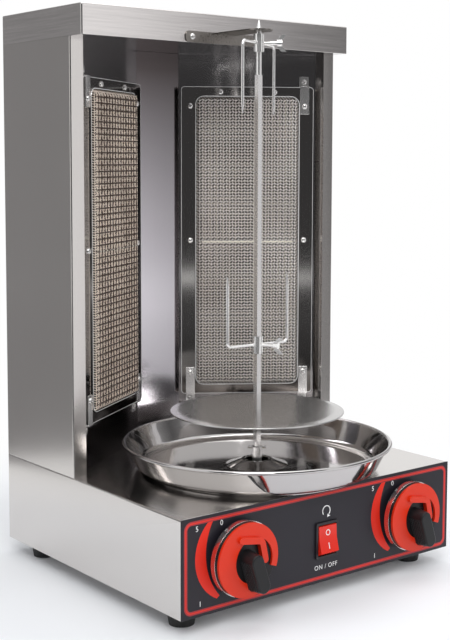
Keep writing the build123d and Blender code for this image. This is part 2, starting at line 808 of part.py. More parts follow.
body_top = knob_stand_off + knob_body_height
ring_hole = (ring_hole_shift_x, -ring_hole_shift_y)
gap_middle = radians((ring_gap_start + ring_gap_end) / 2)
gap_half = radians((ring_gap_end - ring_gap_start) / 2)
gap_reach = 2 * knob_radius / cos(gap_half)
for side_x, side in ((-knob_x, "left"), (knob_x, "right")):
    with BuildPart() as knob:
        with BuildSketch(knob_level(side_x, knob_stand_off)):
            Circle(knob_radius)
        extrude(amount=knob_body_height)
        chamfer(knob.edges().filter_by(GeomType.CIRCLE).sort_by(Axis.Y)[0], knob_edge)
        with BuildSketch(knob_level(side_x, body_top)):
            with Locations(Rotation(0, 0, grip_angle)):
                with Locations(((grip_nose - grip_tail) / 2, 0)):
                    SlotOverall(grip_nose + grip_tail, grip_width)
        extrude(amount=grip_height, taper=grip_draft)
        fillet(knob.faces().sort_by(Axis.Y)[0].edges(), grip_edge)
        with BuildSketch(knob_level(side_x, knob_stand_off)):
            Circle(stem_radius + stem_running_gap)
        extrude(amount=stem_engagement + stem_running_gap, mode=Mode.SUBTRACT)
    save(knob.part, f"knob_{side}")

    with BuildPart() as knob_skirt:
        with BuildSketch(knob_level(side_x, knob_stand_off)):
            Circle(knob_radius + skirt_wall)
            Circle(knob_radius + seat_gap / 2, mode=Mode.SUBTRACT)
        extrude(amount=skirt_height)
    save(knob_skirt.part, f"knob_skirt_{side}")

    with BuildPart() as knob_ring:
        with BuildSketch(knob_level(side_x, body_top)):
            Circle(knob_radius + knob_edge)
            with Locations(ring_hole):
                Circle(ring_hole_radius, mode=Mode.SUBTRACT)
            with BuildLine():
                Polyline(
                    (0, 0),
                    (gap_reach * cos(gap_middle - gap_half), gap_reach * sin(gap_middle - gap_half)),
                    (gap_reach * cos(gap_middle + gap_half), gap_reach * sin(gap_middle + gap_half)),
                    close=True,
                )
            make_face(mode=Mode.SUBTRACT)
        extrude(amount=ring_height)
        with BuildSketch(knob_level(side_x, body_top)):
            with BuildLine():
                FilletPolyline(pointer_root, pointer_knee, pointer_tip, radius=pointer_bend)
                offset(amount=pointer_width / 2)
            make_face()
        extrude(amount=pointer_height)
        with BuildSketch(knob_level(side_x, body_top)):
            with Locations(Rotation(0, 0, grip_angle)):
                with Locations(((grip_nose - grip_tail) / 2, 0)):
                    SlotOverall(grip_nose + grip_tail + 2 * seat_gap, grip_width + 2 * seat_gap)
        extrude(amount=grip_height, mode=Mode.SUBTRACT)
    save(knob_ring.part, f"knob_ring_{side}")

pivot_y = front_y + rocker_pivot_depth
swing_radius = rocker_height / 2
opening_width = rocker_width + 2 * rocker_gap
opening_height = rocker_height + 2 * rocker_gap
with BuildPart() as rocker_housing:
    with BuildSketch(panel_plane):
        with Locations((0, switch_z)):
            RectangleRounded(bezel_width, bezel_height, bezel_corner)
    extrude(amount=bezel_thickness)
    with BuildSketch(panel_plane):
        with Locations((0, switch_z)):
            Rectangle(switch_hole_width - 2 * seat_gap, switch_hole_height - 2 * seat_gap)
    extrude(amount=-switch_body_depth)
    with BuildSketch(panel_plane.offset(bezel_thickness)):
        with Locations((0, switch_z)):
            Rectangle(opening_width, opening_height)
    extrude(amount=switch_wall - switch_body_depth - bezel_thickness, mode=Mode.SUBTRACT)
    with BuildSketch(Plane(origin=(0, pivot_y, switch_z), z_dir=(1, 0, 0))):
        Circle(rocker_pin_radius + stem_running_gap)
    extrude(amount=opening_width / 2 + rocker_pin_reach + seat_gap, both=True, mode=Mode.SUBTRACT)
save(rocker_housing.part, "rocker_housing")

rocker_out = (0, -cos(radians(rocker_tilt)), sin(radians(rocker_tilt)))
rocker_plane = Plane(origin=(0, pivot_y, switch_z), x_dir=rocker_out, z_dir=(1, 0, 0))
crown_half = (swing_radius**2 - rocker_crown**2) ** 0.5
back_half = (swing_radius**2 - rocker_back**2) ** 0.5
with BuildPart() as rocker:
    with BuildSketch(rocker_plane):
        with BuildLine():
            Polyline(
                (rocker_crown, -crown_half),
                (rocker_crown - rocker_valley, 0),
                (rocker_crown, crown_half),
            )
            ThreePointArc((rocker_crown, crown_half), (0, swing_radius), (-rocker_back, back_half))
            Line((-rocker_back, back_half), (-rocker_back, -back_half))
            ThreePointArc((-rocker_back, -back_half), (0, -swing_radius), (rocker_crown, -crown_half))
        make_face()
    extrude(amount=rocker_width / 2, both=True)
    with BuildSketch(rocker_plane):
        Circle(rocker_pin_radius)
    extrude(amount=opening_width / 2 + rocker_pin_reach, both=True)
save(rocker.part, "rocker")

# ---------------------------------------------------------------- drive
motor_top_z = base_top_z - motor_gap
screw_places = [(-motor_ear_span / 2, skewer_y), (motor_ear_span / 2, skewer_y)]


def spindle_level(z):
    """A level plane centred on the skewer's axis."""
    return Plane((0, skewer_y, z))


with BuildPart() as motor:
    with BuildSketch(spindle_level(motor_top_z - motor_length)):
        Circle(motor_radius)
    extrude(amount=motor_length)
    with BuildSketch(spindle_level(motor_top_z - motor_plate_sheet)):
        SlotOverall(motor_ear_span + motor_ear_width, motor_ear_width)
        with Locations((-motor_ear_span / 2, 0), (motor_ear_span / 2, 0)):
            Circle(foot_screw_radius + seat_gap, mode=Mode.SUBTRACT)
    extrude(amount=motor_plate_sheet)
    with BuildSketch(spindle_level(motor_top_z)):
        Circle(motor_boss_radius)
    extrude(amount=motor_boss)
    with BuildSketch(spindle_level(motor_top_z + motor_boss)):
        Circle(shaft_radius + shaft_running_gap)
    extrude(amount=-shaft_depth - motor_boss - shaft_running_gap, mode=Mode.SUBTRACT)
save(motor.part, "motor")

leg_x = (motor_plate_width - motor_plate_sheet) / 2
plate_low_z = motor_top_z
plate_high_z = base_top_z - sheet
with BuildPart() as motor_bracket:
    with BuildSketch(spindle_level(plate_low_z)):
        Rectangle(motor_plate_width, motor_plate_depth)
        Circle(motor_boss_radius + seat_gap, mode=Mode.SUBTRACT)
        with Locations((-motor_ear_span / 2, 0), (motor_ear_span / 2, 0)):
            Circle(foot_screw_radius + seat_gap, mode=Mode.SUBTRACT)
    extrude(amount=motor_plate_sheet)
    with BuildSketch(spindle_level(plate_low_z)):
        with Locations((-leg_x, 0), (leg_x, 0)):
            Rectangle(motor_plate_sheet, motor_plate_depth)
    extrude(amount=plate_high_z - plate_low_z)
    with BuildSketch(spindle_level(plate_high_z - motor_plate_sheet)):
        with Locations((-leg_x, 0), (leg_x, 0)):
            Rectangle(bottom_flange, motor_plate_depth)
    extrude(amount=motor_plate_sheet)
save(motor_bracket.part, "motor_bracket")

with BuildPart() as motor_screws:
    with BuildSketch(Plane.XY.offset(plate_low_z + motor_plate_sheet)):
        with Locations(*screw_places):
            Circle(foot_screw_head_radius)
    extrude(amount=foot_screw_head)
    with BuildSketch(Plane.XY.offset(plate_low_z + motor_plate_sheet)):
        with Locations(*screw_places):
            Circle(foot_screw_radius)
    extrude(amount=-2 * motor_plate_sheet - motor_screw_end)
save(motor_screws.part, "motor_screws")

with BuildPart() as spindle_bush:
    with BuildSketch(spindle_level(base_top_z)):
        Circle(bush_flange_radius)
    extrude(amount=bush_flange)
    with BuildSketch(spindle_level(base_top_z)):
        Circle(bush_radius - seat_gap / 2)
    extrude(amount=-bush_depth)
    with BuildSketch(spindle_level(base_top_z - bush_depth)):
        Circle(shaft_radius + shaft_running_gap)
    extrude(amount=bush_depth + bush_flange, mode=Mode.SUBTRACT)
save(spindle_bush.part, "spindle_bush")

socket_foot_z = base_top_z + socket_foot
socket_top_z = base_top_z + socket_top
shaft_bottom_z = motor_top_z - shaft_depth
with BuildPart() as drive_shaft:
    with BuildSketch(spindle_level(shaft_bottom_z)):
        Circle(shaft_radius)
    extrude(amount=socket_foot_z + socket_hub_depth - shaft_bottom_z)
save(drive_shaft.part, "drive_shaft")

pin_z = socket_top_z - drive_pin_sink + drive_pin_radius + stem_running_gap
pin_plane = Plane(
    origin=(0, skewer_y, pin_z),
    z_dir=(cos(radians(drive_pin_angle)), sin(radians(drive_pin_angle)), 0),
)
with BuildPart() as drive_socket:
    with BuildSketch(spindle_level(socket_foot_z)):
        Circle(socket_radius)
    extrude(amount=socket_top - socket_foot)
    chamfer(drive_socket.edges().group_by(Axis.Z)[-1], socket_edge)
    with BuildSketch(spindle_level(socket_foot_z)):
        Circle(shaft_radius)
    extrude(amount=socket_hub_depth, mode=Mode.SUBTRACT)
    with BuildSketch(spindle_level(socket_top_z)):
        Circle(socket_bore_radius)
    extrude(amount=-socket_bore_depth, mode=Mode.SUBTRACT)
    with BuildSketch(spindle_level(socket_top_z)):
        with Locations(Rotation(0, 0, drive_pin_angle)):
            Rectangle(drive_pin_span, 2 * (drive_pin_radius + stem_running_gap))
    extrude(amount=-drive_pin_sink, mode=Mode.SUBTRACT)
save(drive_socket.part, "drive_socket")

# ---------------------------------------------------------------- skewer
foot_rod_radius = socket_bore_radius - skewer_running_gap
foot_rod_z = socket_top_z - socket_bore_depth + skewer_running_gap
neck_z = base_top_z + skewer_square_top
cone_z = base_top_z + skewer_tip - skewer_cone
with BuildPart() as skewer_rod:
    with BuildSketch(spindle_level(foot_rod_z)):
        Circle(foot_rod_radius)
    extrude(amount=base_top_z + skewer_foot_top - foot_rod_z)
    with BuildSketch(spindle_level(base_top_z + skewer_foot_top)):
        Rectangle(skewer_side, skewer_side)
    extrude(amount=skewer_square_top - skewer_foot_top)
    with BuildSketch(spindle_level(neck_z)):
        Circle(skewer_neck_radius)
    extrude(amount=cone_z - neck_z)
    with Locations((0, skewer_y, cone_z)):
        Cone(
            skewer_neck_radius,
            skewer_tip_radius,
            skewer_cone,
            align=(Align.CENTER, Align.CENTER, Align.MIN),
        )
    with BuildSketch(pin_plane):
        Circle(drive_pin_radius)
    extrude(amount=drive_pin_span, both=True, mode=Mode.SUBTRACT)
save(skewer_rod.part, "skewer_rod")

with BuildPart() as drive_pin:
    with BuildSketch(pin_plane):
        Circle(drive_pin_radius)
    extrude(amount=drive_pin_span / 2, both=True)
save(drive_pin.part, "drive_pin")

disc_top_z = base_top_z + disc_top
flat_radius = disc_radius - disc_rim_width
with BuildPart() as meat_disc:
    with BuildSketch(Plane(origin=(0, skewer_y, disc_top_z), x_dir=(1, 0, 0), z_dir=(0, -1, 0))):
        with BuildLine():
            Polyline(
                (0, 0),
                (flat_radius, 0),
                (disc_radius, -disc_rim_drop),
                (disc_radius, -disc_rim_drop - disc_sheet),
                (flat_radius, -disc_sheet),
                (disc_hub_radius, -disc_sheet),
                (disc_hub_radius, -disc_sheet - disc_hub),
                (0, -disc_sheet - disc_hub),
                close=True,
            )
        make_face()
    revolve(axis=Axis((0, skewer_y, 0), (0, 0, 1)))
    with BuildSketch(spindle_level(disc_top_z)):
        Rectangle(skewer_side + seat_gap, skewer_side + seat_gap)
    extrude(amount=-disc_sheet - disc_hub, mode=Mode.SUBTRACT)
save(meat_disc.part, "meat_disc")

collar_bore_radius = skewer_side / 2**0.5 + skewer_running_gap


def make_fork(name, height, angle, points_up):
    """A sliding collar with two prongs, and the wing screw that clamps it."""
    middle_z = base_top_z + height
    sense = 1 if points_up else -1
    arm_plane = Plane(
        origin=(0, skewer_y, middle_z),
        x_dir=(cos(radians(angle)), sin(radians(angle)), 0),
        z_dir=(sin(radians(angle)), -cos(radians(angle)), 0),
    )
    screw_direction = radians(angle + wing_screw_angle)
    screw_plane = Plane(
        origin=(0, skewer_y, middle_z),
        x_dir=(0, 0, 1),
        z_dir=(cos(screw_direction), sin(screw_direction), 0),
    )
    arm_start = fork_collar_radius - (fork_collar_radius - collar_bore_radius) / 2
    with BuildPart() as fork:
        with BuildSketch(spindle_level(middle_z - fork_collar_height / 2)):
            Circle(fork_collar_radius)
        extrude(amount=fork_collar_height)
        for side in (-1, 1):
            start = arm_plane.from_local_coords(Vector(side * arm_start, 0, 0))
            corner = arm_plane.from_local_coords(Vector(side * fork_radius, 0, 0))
            end = arm_plane.from_local_coords(
                Vector(side * fork_radius, sense * (prong_length - prong_point), 0)
            )
            with BuildLine():
                FilletPolyline(start, corner, end, radius=prong_bend)
            with BuildSketch(Plane(origin=start, z_dir=arm_plane.x_dir * side)):
                Circle(prong_radius)
            sweep()
            with BuildSketch(Plane(origin=end, z_dir=(0, 0, sense))):
                Circle(prong_radius)
            with BuildSketch(Plane(origin=end, z_dir=(0, 0, sense)).offset(prong_point)):
                Circle(skewer_tip_radius)
            loft()
        with BuildSketch(spindle_level(middle_z - fork_collar_height / 2)):
            Circle(collar_bore_radius)
        extrude(amount=fork_collar_height, mode=Mode.SUBTRACT)
        with BuildSketch(screw_plane):
            Circle(wing_screw_radius + stem_running_gap)
        extrude(amount=2 * fork_collar_radius, mode=Mode.SUBTRACT)
    save(fork.part, f"{name}_fork")

    shank_end = fork_collar_radius + wing_screw_length
    with BuildPart() as wing_screw:
        with BuildSketch(screw_plane.offset(collar_bore_radius)):
            Circle(wing_screw_radius)
        extrude(amount=shank_end - collar_bore_radius)
        with BuildSketch(screw_plane.offset(shank_end - wing_hub)):
            Circle(wing_hub_radius)
        extrude(amount=wing_hub)
        with BuildSketch(Plane(screw_plane.location * Location((0, 0, shank_end - wing_hub), (90, 0, 0)))):
            for wing_side in (-1, 1):
                with BuildLine():
                    Polyline(
                        (wing_side * wing_hub_radius / 2, 0),
                        (wing_side * wing_hub_radius, 0),
                        (wing_side * wing_span / 2, wing_root),
                        (wing_side * wing_span / 2, wing_tip),
                        (wing_side * wing_hub_radius, wing_hub),
                        (wing_side * wing_hub_radius / 2, wing_hub),
                        close=True,
                    )
                make_face()
        extrude(amount=wing_thickness / 2, both=True)
    save(wing_screw.part, f"{name}_wing_screw")


make_fork("upper", upper_fork_height, upper_fork_angle, points_up=False)
make_fork("lower", lower_fork_height, lower_fork_angle, points_up=True)

# ---------------------------------------------------------------- top bracket
bracket_top_z = ceiling_z + bracket_flange_height
bracket_hole_radius = skewer_neck_radius + bracket_hole_gap
arm_length = cap_front_y - skewer_y
bracket_front = Plane(origin=(0, cap_front_y, ceiling_z), x_dir=(1, 0, 0), z_dir=(0, -1, 0))
bracket_screw_places = [
    (-bracket_screw_span / 2, bracket_flange_height / 2),
    (bracket_screw_span / 2, bracket_flange_height / 2),
]
with BuildPart() as top_bracket:
    with BuildSketch(bracket_front):
        with Locations((0, bracket_flange_height / 2)):
            Rectangle(bracket_flange_width, bracket_flange_height)
            fillet(vertices().group_by(Axis.Z)[-1], bracket_corner)
    extrude(amount=bracket_sheet)
    with BuildSketch(spindle_level(bracket_top_z - bracket_sheet)):
        Circle(bracket_arm_width / 2)
        with Locations((0, arm_length / 2)):
            Rectangle(bracket_arm_width, arm_length)
        Circle(bracket_hole_radius, mode=Mode.SUBTRACT)
    extrude(amount=bracket_sheet)
save(top_bracket.part, "top_bracket")

with BuildPart() as bracket_screws:
    with BuildSketch(bracket_front.offset(bracket_sheet)):
        with Locations(*bracket_screw_places):
            Circle(small_head_radius)
    extrude(amount=small_head)
save(bracket_screws.part, "bracket_screws")

# ---------------------------------------------------------------- drip pan
floor_z = pan_stand + pan_sheet / 2
rim_end_z = pan_rim_height - 2 * pan_roll_radius
with BuildPart() as drip_pan:
    with BuildSketch(Plane(origin=(0, skewer_y, base_top_z), x_dir=(1, 0, 0), z_dir=(0, -1, 0))):
        with BuildLine():
            FilletPolyline(
                (pan_hole_radius + pan_sheet / 2, floor_z + pan_dome_height),
                (pan_dome_top_radius, floor_z + pan_dome_height),
                (pan_dome_radius, floor_z),
                (pan_bottom_radius, floor_z),
                (pan_radius - 2 * pan_roll_radius, rim_end_z + pan_roll_radius),
                radius=[pan_dome_edge, pan_dome_foot, pan_bottom_corner],
            )
            offset(amount=pan_sheet / 2)
        make_face()
        with Locations((pan_radius - pan_roll_radius, pan_rim_height - pan_roll_radius)):
            Circle(pan_roll_radius)
        with Locations((pan_bottom_radius - pan_bottom_corner, pan_stand / 2 + pan_sheet / 4)):
            Circle(pan_stand / 2 + pan_sheet / 4)
    revolve(axis=Axis((0, skewer_y, 0), (0, 0, 1)))
save(drip_pan.part, "drip_pan")

# ---------------------------------------------------------------- electrics
gland_plane = Plane(origin=(gland_x, rear_y, gland_z), x_dir=(1, 0, 0), z_dir=(0, 1, 0))
with BuildPart() as cable_gland:
    with BuildSketch(gland_plane):
        RegularPolygon(gland_nut_radius, 6)
    extrude(amount=gland_nut)
    with BuildSketch(gland_plane.offset(gland_nut)):
        Circle(gland_radius)
    extrude(amount=gland_reach - gland_nut)
    fillet(cable_gland.edges().sort_by(Axis.Y)[-1], gland_edge)
    with BuildSketch(gland_plane):
        Circle(gland_radius - seat_gap / 2)
    extrude(amount=-sheet - 2 * gland_nut)
    with BuildSketch(gland_plane.offset(-sheet)):
        RegularPolygon(gland_nut_radius, 6)
    extrude(amount=-gland_nut)
    with BuildSketch(gland_plane.offset(-sheet - 2 * gland_nut)):
        Circle(gland_bore_radius)
    extrude(amount=sheet + 2 * gland_nut + gland_reach, mode=Mode.SUBTRACT)
save(cable_gland.part, "cable_gland")

terminal_plane = Plane((gland_x, rear_y - terminal_size, base_bottom_z + sheet))
with BuildPart() as terminal_block:
    with BuildSketch(terminal_plane):
        Rectangle(terminal_size, terminal_width)
    extrude(amount=terminal_height)
    with BuildSketch(terminal_plane.offset(terminal_height)):
        with GridLocations(terminal_size / terminal_poles, terminal_width / 2, terminal_poles, 2):
            Circle(small_head_radius)
    extrude(amount=-terminal_height / 2, mode=Mode.SUBTRACT)
save(terminal_block.part, "terminal_block")
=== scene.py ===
"""Looks of a counter-top skewer grill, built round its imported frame.

Metres, +Z up, -Y is the front."""

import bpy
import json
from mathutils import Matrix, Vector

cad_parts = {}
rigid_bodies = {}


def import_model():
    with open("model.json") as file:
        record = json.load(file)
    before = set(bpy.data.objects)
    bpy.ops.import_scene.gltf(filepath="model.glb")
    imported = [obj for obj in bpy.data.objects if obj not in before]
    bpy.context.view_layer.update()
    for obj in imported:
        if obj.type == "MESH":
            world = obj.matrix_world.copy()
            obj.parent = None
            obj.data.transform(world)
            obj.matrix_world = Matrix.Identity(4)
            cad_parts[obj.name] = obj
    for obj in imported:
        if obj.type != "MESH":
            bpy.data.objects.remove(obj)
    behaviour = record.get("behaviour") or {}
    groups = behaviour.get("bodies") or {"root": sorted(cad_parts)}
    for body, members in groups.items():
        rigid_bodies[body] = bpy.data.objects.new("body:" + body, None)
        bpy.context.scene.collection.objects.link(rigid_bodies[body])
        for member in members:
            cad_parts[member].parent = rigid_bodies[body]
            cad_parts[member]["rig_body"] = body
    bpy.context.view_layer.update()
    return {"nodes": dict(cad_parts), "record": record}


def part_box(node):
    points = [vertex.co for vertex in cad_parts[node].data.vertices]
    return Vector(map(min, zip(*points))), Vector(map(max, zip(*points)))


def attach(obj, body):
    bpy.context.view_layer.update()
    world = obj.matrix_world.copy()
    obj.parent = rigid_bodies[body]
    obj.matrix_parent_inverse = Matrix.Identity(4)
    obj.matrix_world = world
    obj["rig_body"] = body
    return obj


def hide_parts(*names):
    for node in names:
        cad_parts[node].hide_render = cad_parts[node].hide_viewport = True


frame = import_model()

import json
import math

import bmesh
import bpy
from mathutils import Matrix, Vector

MM = 0.001
scene = bpy.context.scene

# ---------------------------------------------------------------- camera
CAMERA_PLACE = (-0.8039, -1.0239, 0.4311)
CAMERA_YAW = 38.876  # from +Y towards +X
CAMERA_PITCH = -5.066
CAMERA_ROLL = 0.2
CAMERA_LENS = 69.43
CAMERA_SHIFT = (-0.031, -0.083)
SENSOR_WIDTH = 36.0


def make_camera():
    data = bpy.data.cameras.new("camera")
    data.lens = CAMERA_LENS
    data.sensor_width = SENSOR_WIDTH
    data.shift_x, data.shift_y = CAMERA_SHIFT
    camera = bpy.data.objects.new("camera", data)
    scene.collection.objects.link(camera)
    camera.location = CAMERA_PLACE
    turn = Matrix.Rotation(math.radians(-CAMERA_YAW), 4, "Z")
    tilt = Matrix.Rotation(math.radians(90 + CAMERA_PITCH), 4, "X")
    roll = Matrix.Rotation(math.radians(CAMERA_ROLL), 4, "Z")
    camera.rotation_euler = (turn @ tilt @ roll).to_euler()
    scene.camera = camera


# ---------------------------------------------------------------- node helpers
def node_of(tree, kind, **values):
    """A new node with its settings and unlinked input values set by name."""
    made = tree.nodes.new(kind)
    for name, value in values.items():
        if name in made.bl_rna.properties:
            setattr(made, name, value)
        else:
            made.inputs[name.replace("_", " ")].default_value = value
    return made


def calc(tree, operation, *values):
    """The result of a math node on numbers and sockets."""
    made = tree.nodes.new("ShaderNodeMath")
    made.operation = operation
    for entry, value in zip(made.inputs, values):
        if isinstance(value, (int, float)):
            entry.default_value = value
        else:
            tree.links.new(value, entry)
    return made.outputs[0]


def new_group(name, kind, inputs, outputs):
    """A node group with typed, named sockets; gives the tree and its two end nodes."""
    tree = bpy.data.node_groups.new(name, kind)
    for label, socket_kind, value in inputs:
        socket = tree.interface.new_socket(name=label, in_out="INPUT", socket_type=socket_kind)
        if value is not None:
            socket.default_value = value
    for label, socket_kind in outputs:
        tree.interface.new_socket(name=label, in_out="OUTPUT", socket_type=socket_kind)
    return tree, tree.nodes.new("NodeGroupInput"), tree.nodes.new("NodeGroupOutput")


NUMBER, COLOUR, VECTOR = "NodeSocketFloat", "NodeSocketColor", "NodeSocketVector"
COUNT, SOLID, FINISH = "NodeSocketInt", "NodeSocketObject", "NodeSocketMaterial"
GEOMETRY = "NodeSocketGeometry"


def copies_on(tree, points, instance, rotation=None):
    """Copies of a geometry on points, made real."""
    placed = tree.nodes.new("GeometryNodeInstanceOnPoints")
    tree.links.new(points, placed.inputs["Points"])
    tree.links.new(instance, placed.inputs["Instance"])
    if rotation is not None:
        tree.links.new(rotation, placed.inputs["Rotation"])
    real = tree.nodes.new("GeometryNodeRealizeInstances")
    tree.links.new(placed.outputs[0], real.inputs[0])
    return real.outputs[0]


def coat_and_end(tree, geometry, start, end):
    """Ends a geometry tree with its Material input on the geometry."""
    coat = tree.nodes.new("GeometryNodeSetMaterial")
    tree.links.new(geometry, coat.inputs["Geometry"])
    tree.links.new(start.outputs["Material"], coat.inputs["Material"])
    tree.links.new(coat.outputs[0], end.inputs["Geometry"])


# ---------------------------------------------------------------- finishes
CLOUD_SCALE = 9.0
LEAST_ROUGHNESS = 0.02
PATCH_EDGES = (0.35, 0.7)  # noise values between which a heat patch fades in
BUMP_DISTANCE = 0.2 * MM


def make_grain_group():
    """Fine streaks along one axis, with slow cloudy changes: a colour, a roughness and a height."""
    tree, start, end = new_group(
        "sheet_grain",
        "ShaderNodeTree",
        [
            ("Colour", COLOUR, (0.6, 0.6, 0.6, 1)),
            ("Density", VECTOR, (900, 900, 8)),
            ("Streak", NUMBER, 0.12),
            ("Cloud", NUMBER, 0.08),
            ("Roughness", NUMBER, 0.3),
            ("Spread", NUMBER, 0.1),
        ],
        [("Colour", COLOUR), ("Roughness", NUMBER), ("Height", NUMBER)],
    )
    place = node_of(tree, "ShaderNodeTexCoord")
    density = node_of(tree, "ShaderNodeVectorMath", operation="MULTIPLY")
    streaks = node_of(tree, "ShaderNodeTexNoise", Scale=1.0, Detail=3.0, Roughness=0.65)
    clouds = node_of(tree, "ShaderNodeTexNoise", Scale=CLOUD_SCALE, Detail=4.0, Roughness=0.6)
    tree.links.new(place.outputs["Object"], density.inputs[0])
    tree.links.new(start.outputs["Density"], density.inputs[1])
    tree.links.new(density.outputs[0], streaks.inputs["Vector"])
    tree.links.new(place.outputs["Object"], clouds.inputs["Vector"])
    streak = calc(tree, "SUBTRACT", streaks.outputs["Fac"], 0.5)
    cloud = calc(tree, "SUBTRACT", clouds.outputs["Fac"], 0.5)
    tone = calc(
        tree,
        "ADD",
        calc(tree, "MULTIPLY_ADD", streak, start.outputs["Streak"], 1.0),
        calc(tree, "MULTIPLY", cloud, start.outputs["Cloud"]),
    )
    shade = node_of(tree, "ShaderNodeVectorMath", operation="SCALE")
    tree.links.new(start.outputs["Colour"], shade.inputs[0])
    tree.links.new(tone, shade.inputs["Scale"])
    both = calc(tree, "ADD", streak, cloud)
    rough = calc(tree, "MULTIPLY_ADD", both, start.outputs["Spread"], start.outputs["Roughness"])
    tree.links.new(shade.outputs[0], end.inputs["Colour"])
    tree.links.new(calc(tree, "MAXIMUM", rough, LEAST_ROUGHNESS), end.inputs["Roughness"])
    tree.links.new(streaks.outputs["Fac"], end.inputs["Height"])
    return tree


def make_heat_and_shade_group():
    """Heat tint in soft patches, and painted shade between two heights: a factor from 0 to 1."""
    tree, start, end = new_group(
        "heat_tint",
        "ShaderNodeTree",
        [
            ("Patch", NUMBER, 14.0),
            ("Amount", NUMBER, 0.0),
            ("Unshaded Height", NUMBER, 0.0),
            ("Shaded Height", NUMBER, 1.0),
            ("Fade", NUMBER, 0.0),
        ],
        [("Fac", NUMBER)],
    )
    place = node_of(tree, "ShaderNodeTexCoord")
    patches = node_of(tree, "ShaderNodeTexNoise", Detail=3.0, Roughness=0.55)
    tree.links.new(place.outputs["Object"], patches.inputs["Vector"])
    tree.links.new(start.outputs["Patch"], patches.inputs["Scale"])
    ramp = node_of(tree, "ShaderNodeMapRange", interpolation_type="SMOOTHSTEP")
    ramp.inputs["From Min"].default_value, ramp.inputs["From Max"].default_value = PATCH_EDGES
    tree.links.new(patches.outputs["Fac"], ramp.inputs["Value"])
    split = node_of(tree, "ShaderNodeSeparateXYZ")
    tree.links.new(place.outputs["Object"], split.inputs[0])
    # painted shade: a factor that grows from the first height to the second
    fade = node_of(tree, "ShaderNodeMapRange")
    tree.links.new(split.outputs["Z"], fade.inputs["Value"])
    tree.links.new(start.outputs["Unshaded Height"], fade.inputs["From Min"])
    tree.links.new(start.outputs["Shaded Height"], fade.inputs["From Max"])
    patch = calc(tree, "MULTIPLY", ramp.outputs["Result"], start.outputs["Amount"])
    shade_by_height = calc(tree, "MULTIPLY", fade.outputs["Result"], start.outputs["Fade"])
    tree.links.new(calc(tree, "MAXIMUM", patch, shade_by_height), end.inputs["Fac"])
    return tree


GRAIN = make_grain_group()
HEAT_AND_SHADE = make_heat_and_shade_group()
# how fast the grain changes along X, Y and Z
UPRIGHT = (1300, 1300, 9)
ACROSS = (12, 12, 420)
EVEN = (400, 400, 400)


def grained(
    name, colour, density=EVEN, streak=0.06, cloud=0.06, roughness=0.3, spread=0.08,
    relief=0.0, metallic=1.0, specular=0.5, tint=None, heat=0.0, fade=None,
):
    """A material with the grain group's colour, roughness and bump, and where asked a tint: heat
    tint in patches, painted shade by height.
    """
    material = bpy.data.materials.new(name)
    material.use_nodes = True
    tree = material.node_tree
    shader = tree.nodes["Principled BSDF"]
    shader.inputs["Metallic"].default_value = metallic
    shader.inputs["Specular IOR Level"].default_value = specular
    grain = tree.nodes.new("ShaderNodeGroup")
    grain.node_tree = GRAIN
    settings = {
        "Colour": (*colour, 1), "Density": density, "Streak": streak,
        "Cloud": cloud, "Roughness": roughness, "Spread": spread,
    }
    for label, value in settings.items():
        grain.inputs[label].default_value = value
    surface = grain.outputs["Colour"]
    if tint:
        tint_node = tree.nodes.new("ShaderNodeGroup")
        tint_node.node_tree = HEAT_AND_SHADE
        tint_node.inputs["Amount"].default_value = heat
        # painted shade, darkening the colour between the two heights given
        if fade:
            tint_node.inputs["Unshaded Height"].default_value = fade[0]
            tint_node.inputs["Shaded Height"].default_value = fade[1]
            tint_node.inputs["Fade"].default_value = 1.0
        mix = node_of(tree, "ShaderNodeMix", data_type="RGBA")
        tree.links.new(tint_node.outputs["Fac"], mix.inputs["Factor"])
        for entry in mix.inputs:
            if entry.type == "RGBA" and entry.name == "A":
                tree.links.new(surface, entry)
            if entry.type == "RGBA" and entry.name == "B":
                entry.default_value = (*tint, 1)
        surface = next(out for out in mix.outputs if out.type == "RGBA")
    tree.links.new(surface, shader.inputs["Base Color"])
    tree.links.new(grain.outputs["Roughness"], shader.inputs["Roughness"])
    if relief:
        bump = node_of(tree, "ShaderNodeBump", Strength=relief, Distance=BUMP_DISTANCE)
        tree.links.new(grain.outputs["Height"], bump.inputs["Height"])
        tree.links.new(bump.outputs["Normal"], shader.inputs["Normal"])
    return material


STAINLESS = (0.68, 0.655, 0.635)
BROWN_TINT = (0.20, 0.13, 0.085)
SOOT_TINT = (0.03, 0.02, 0.016)
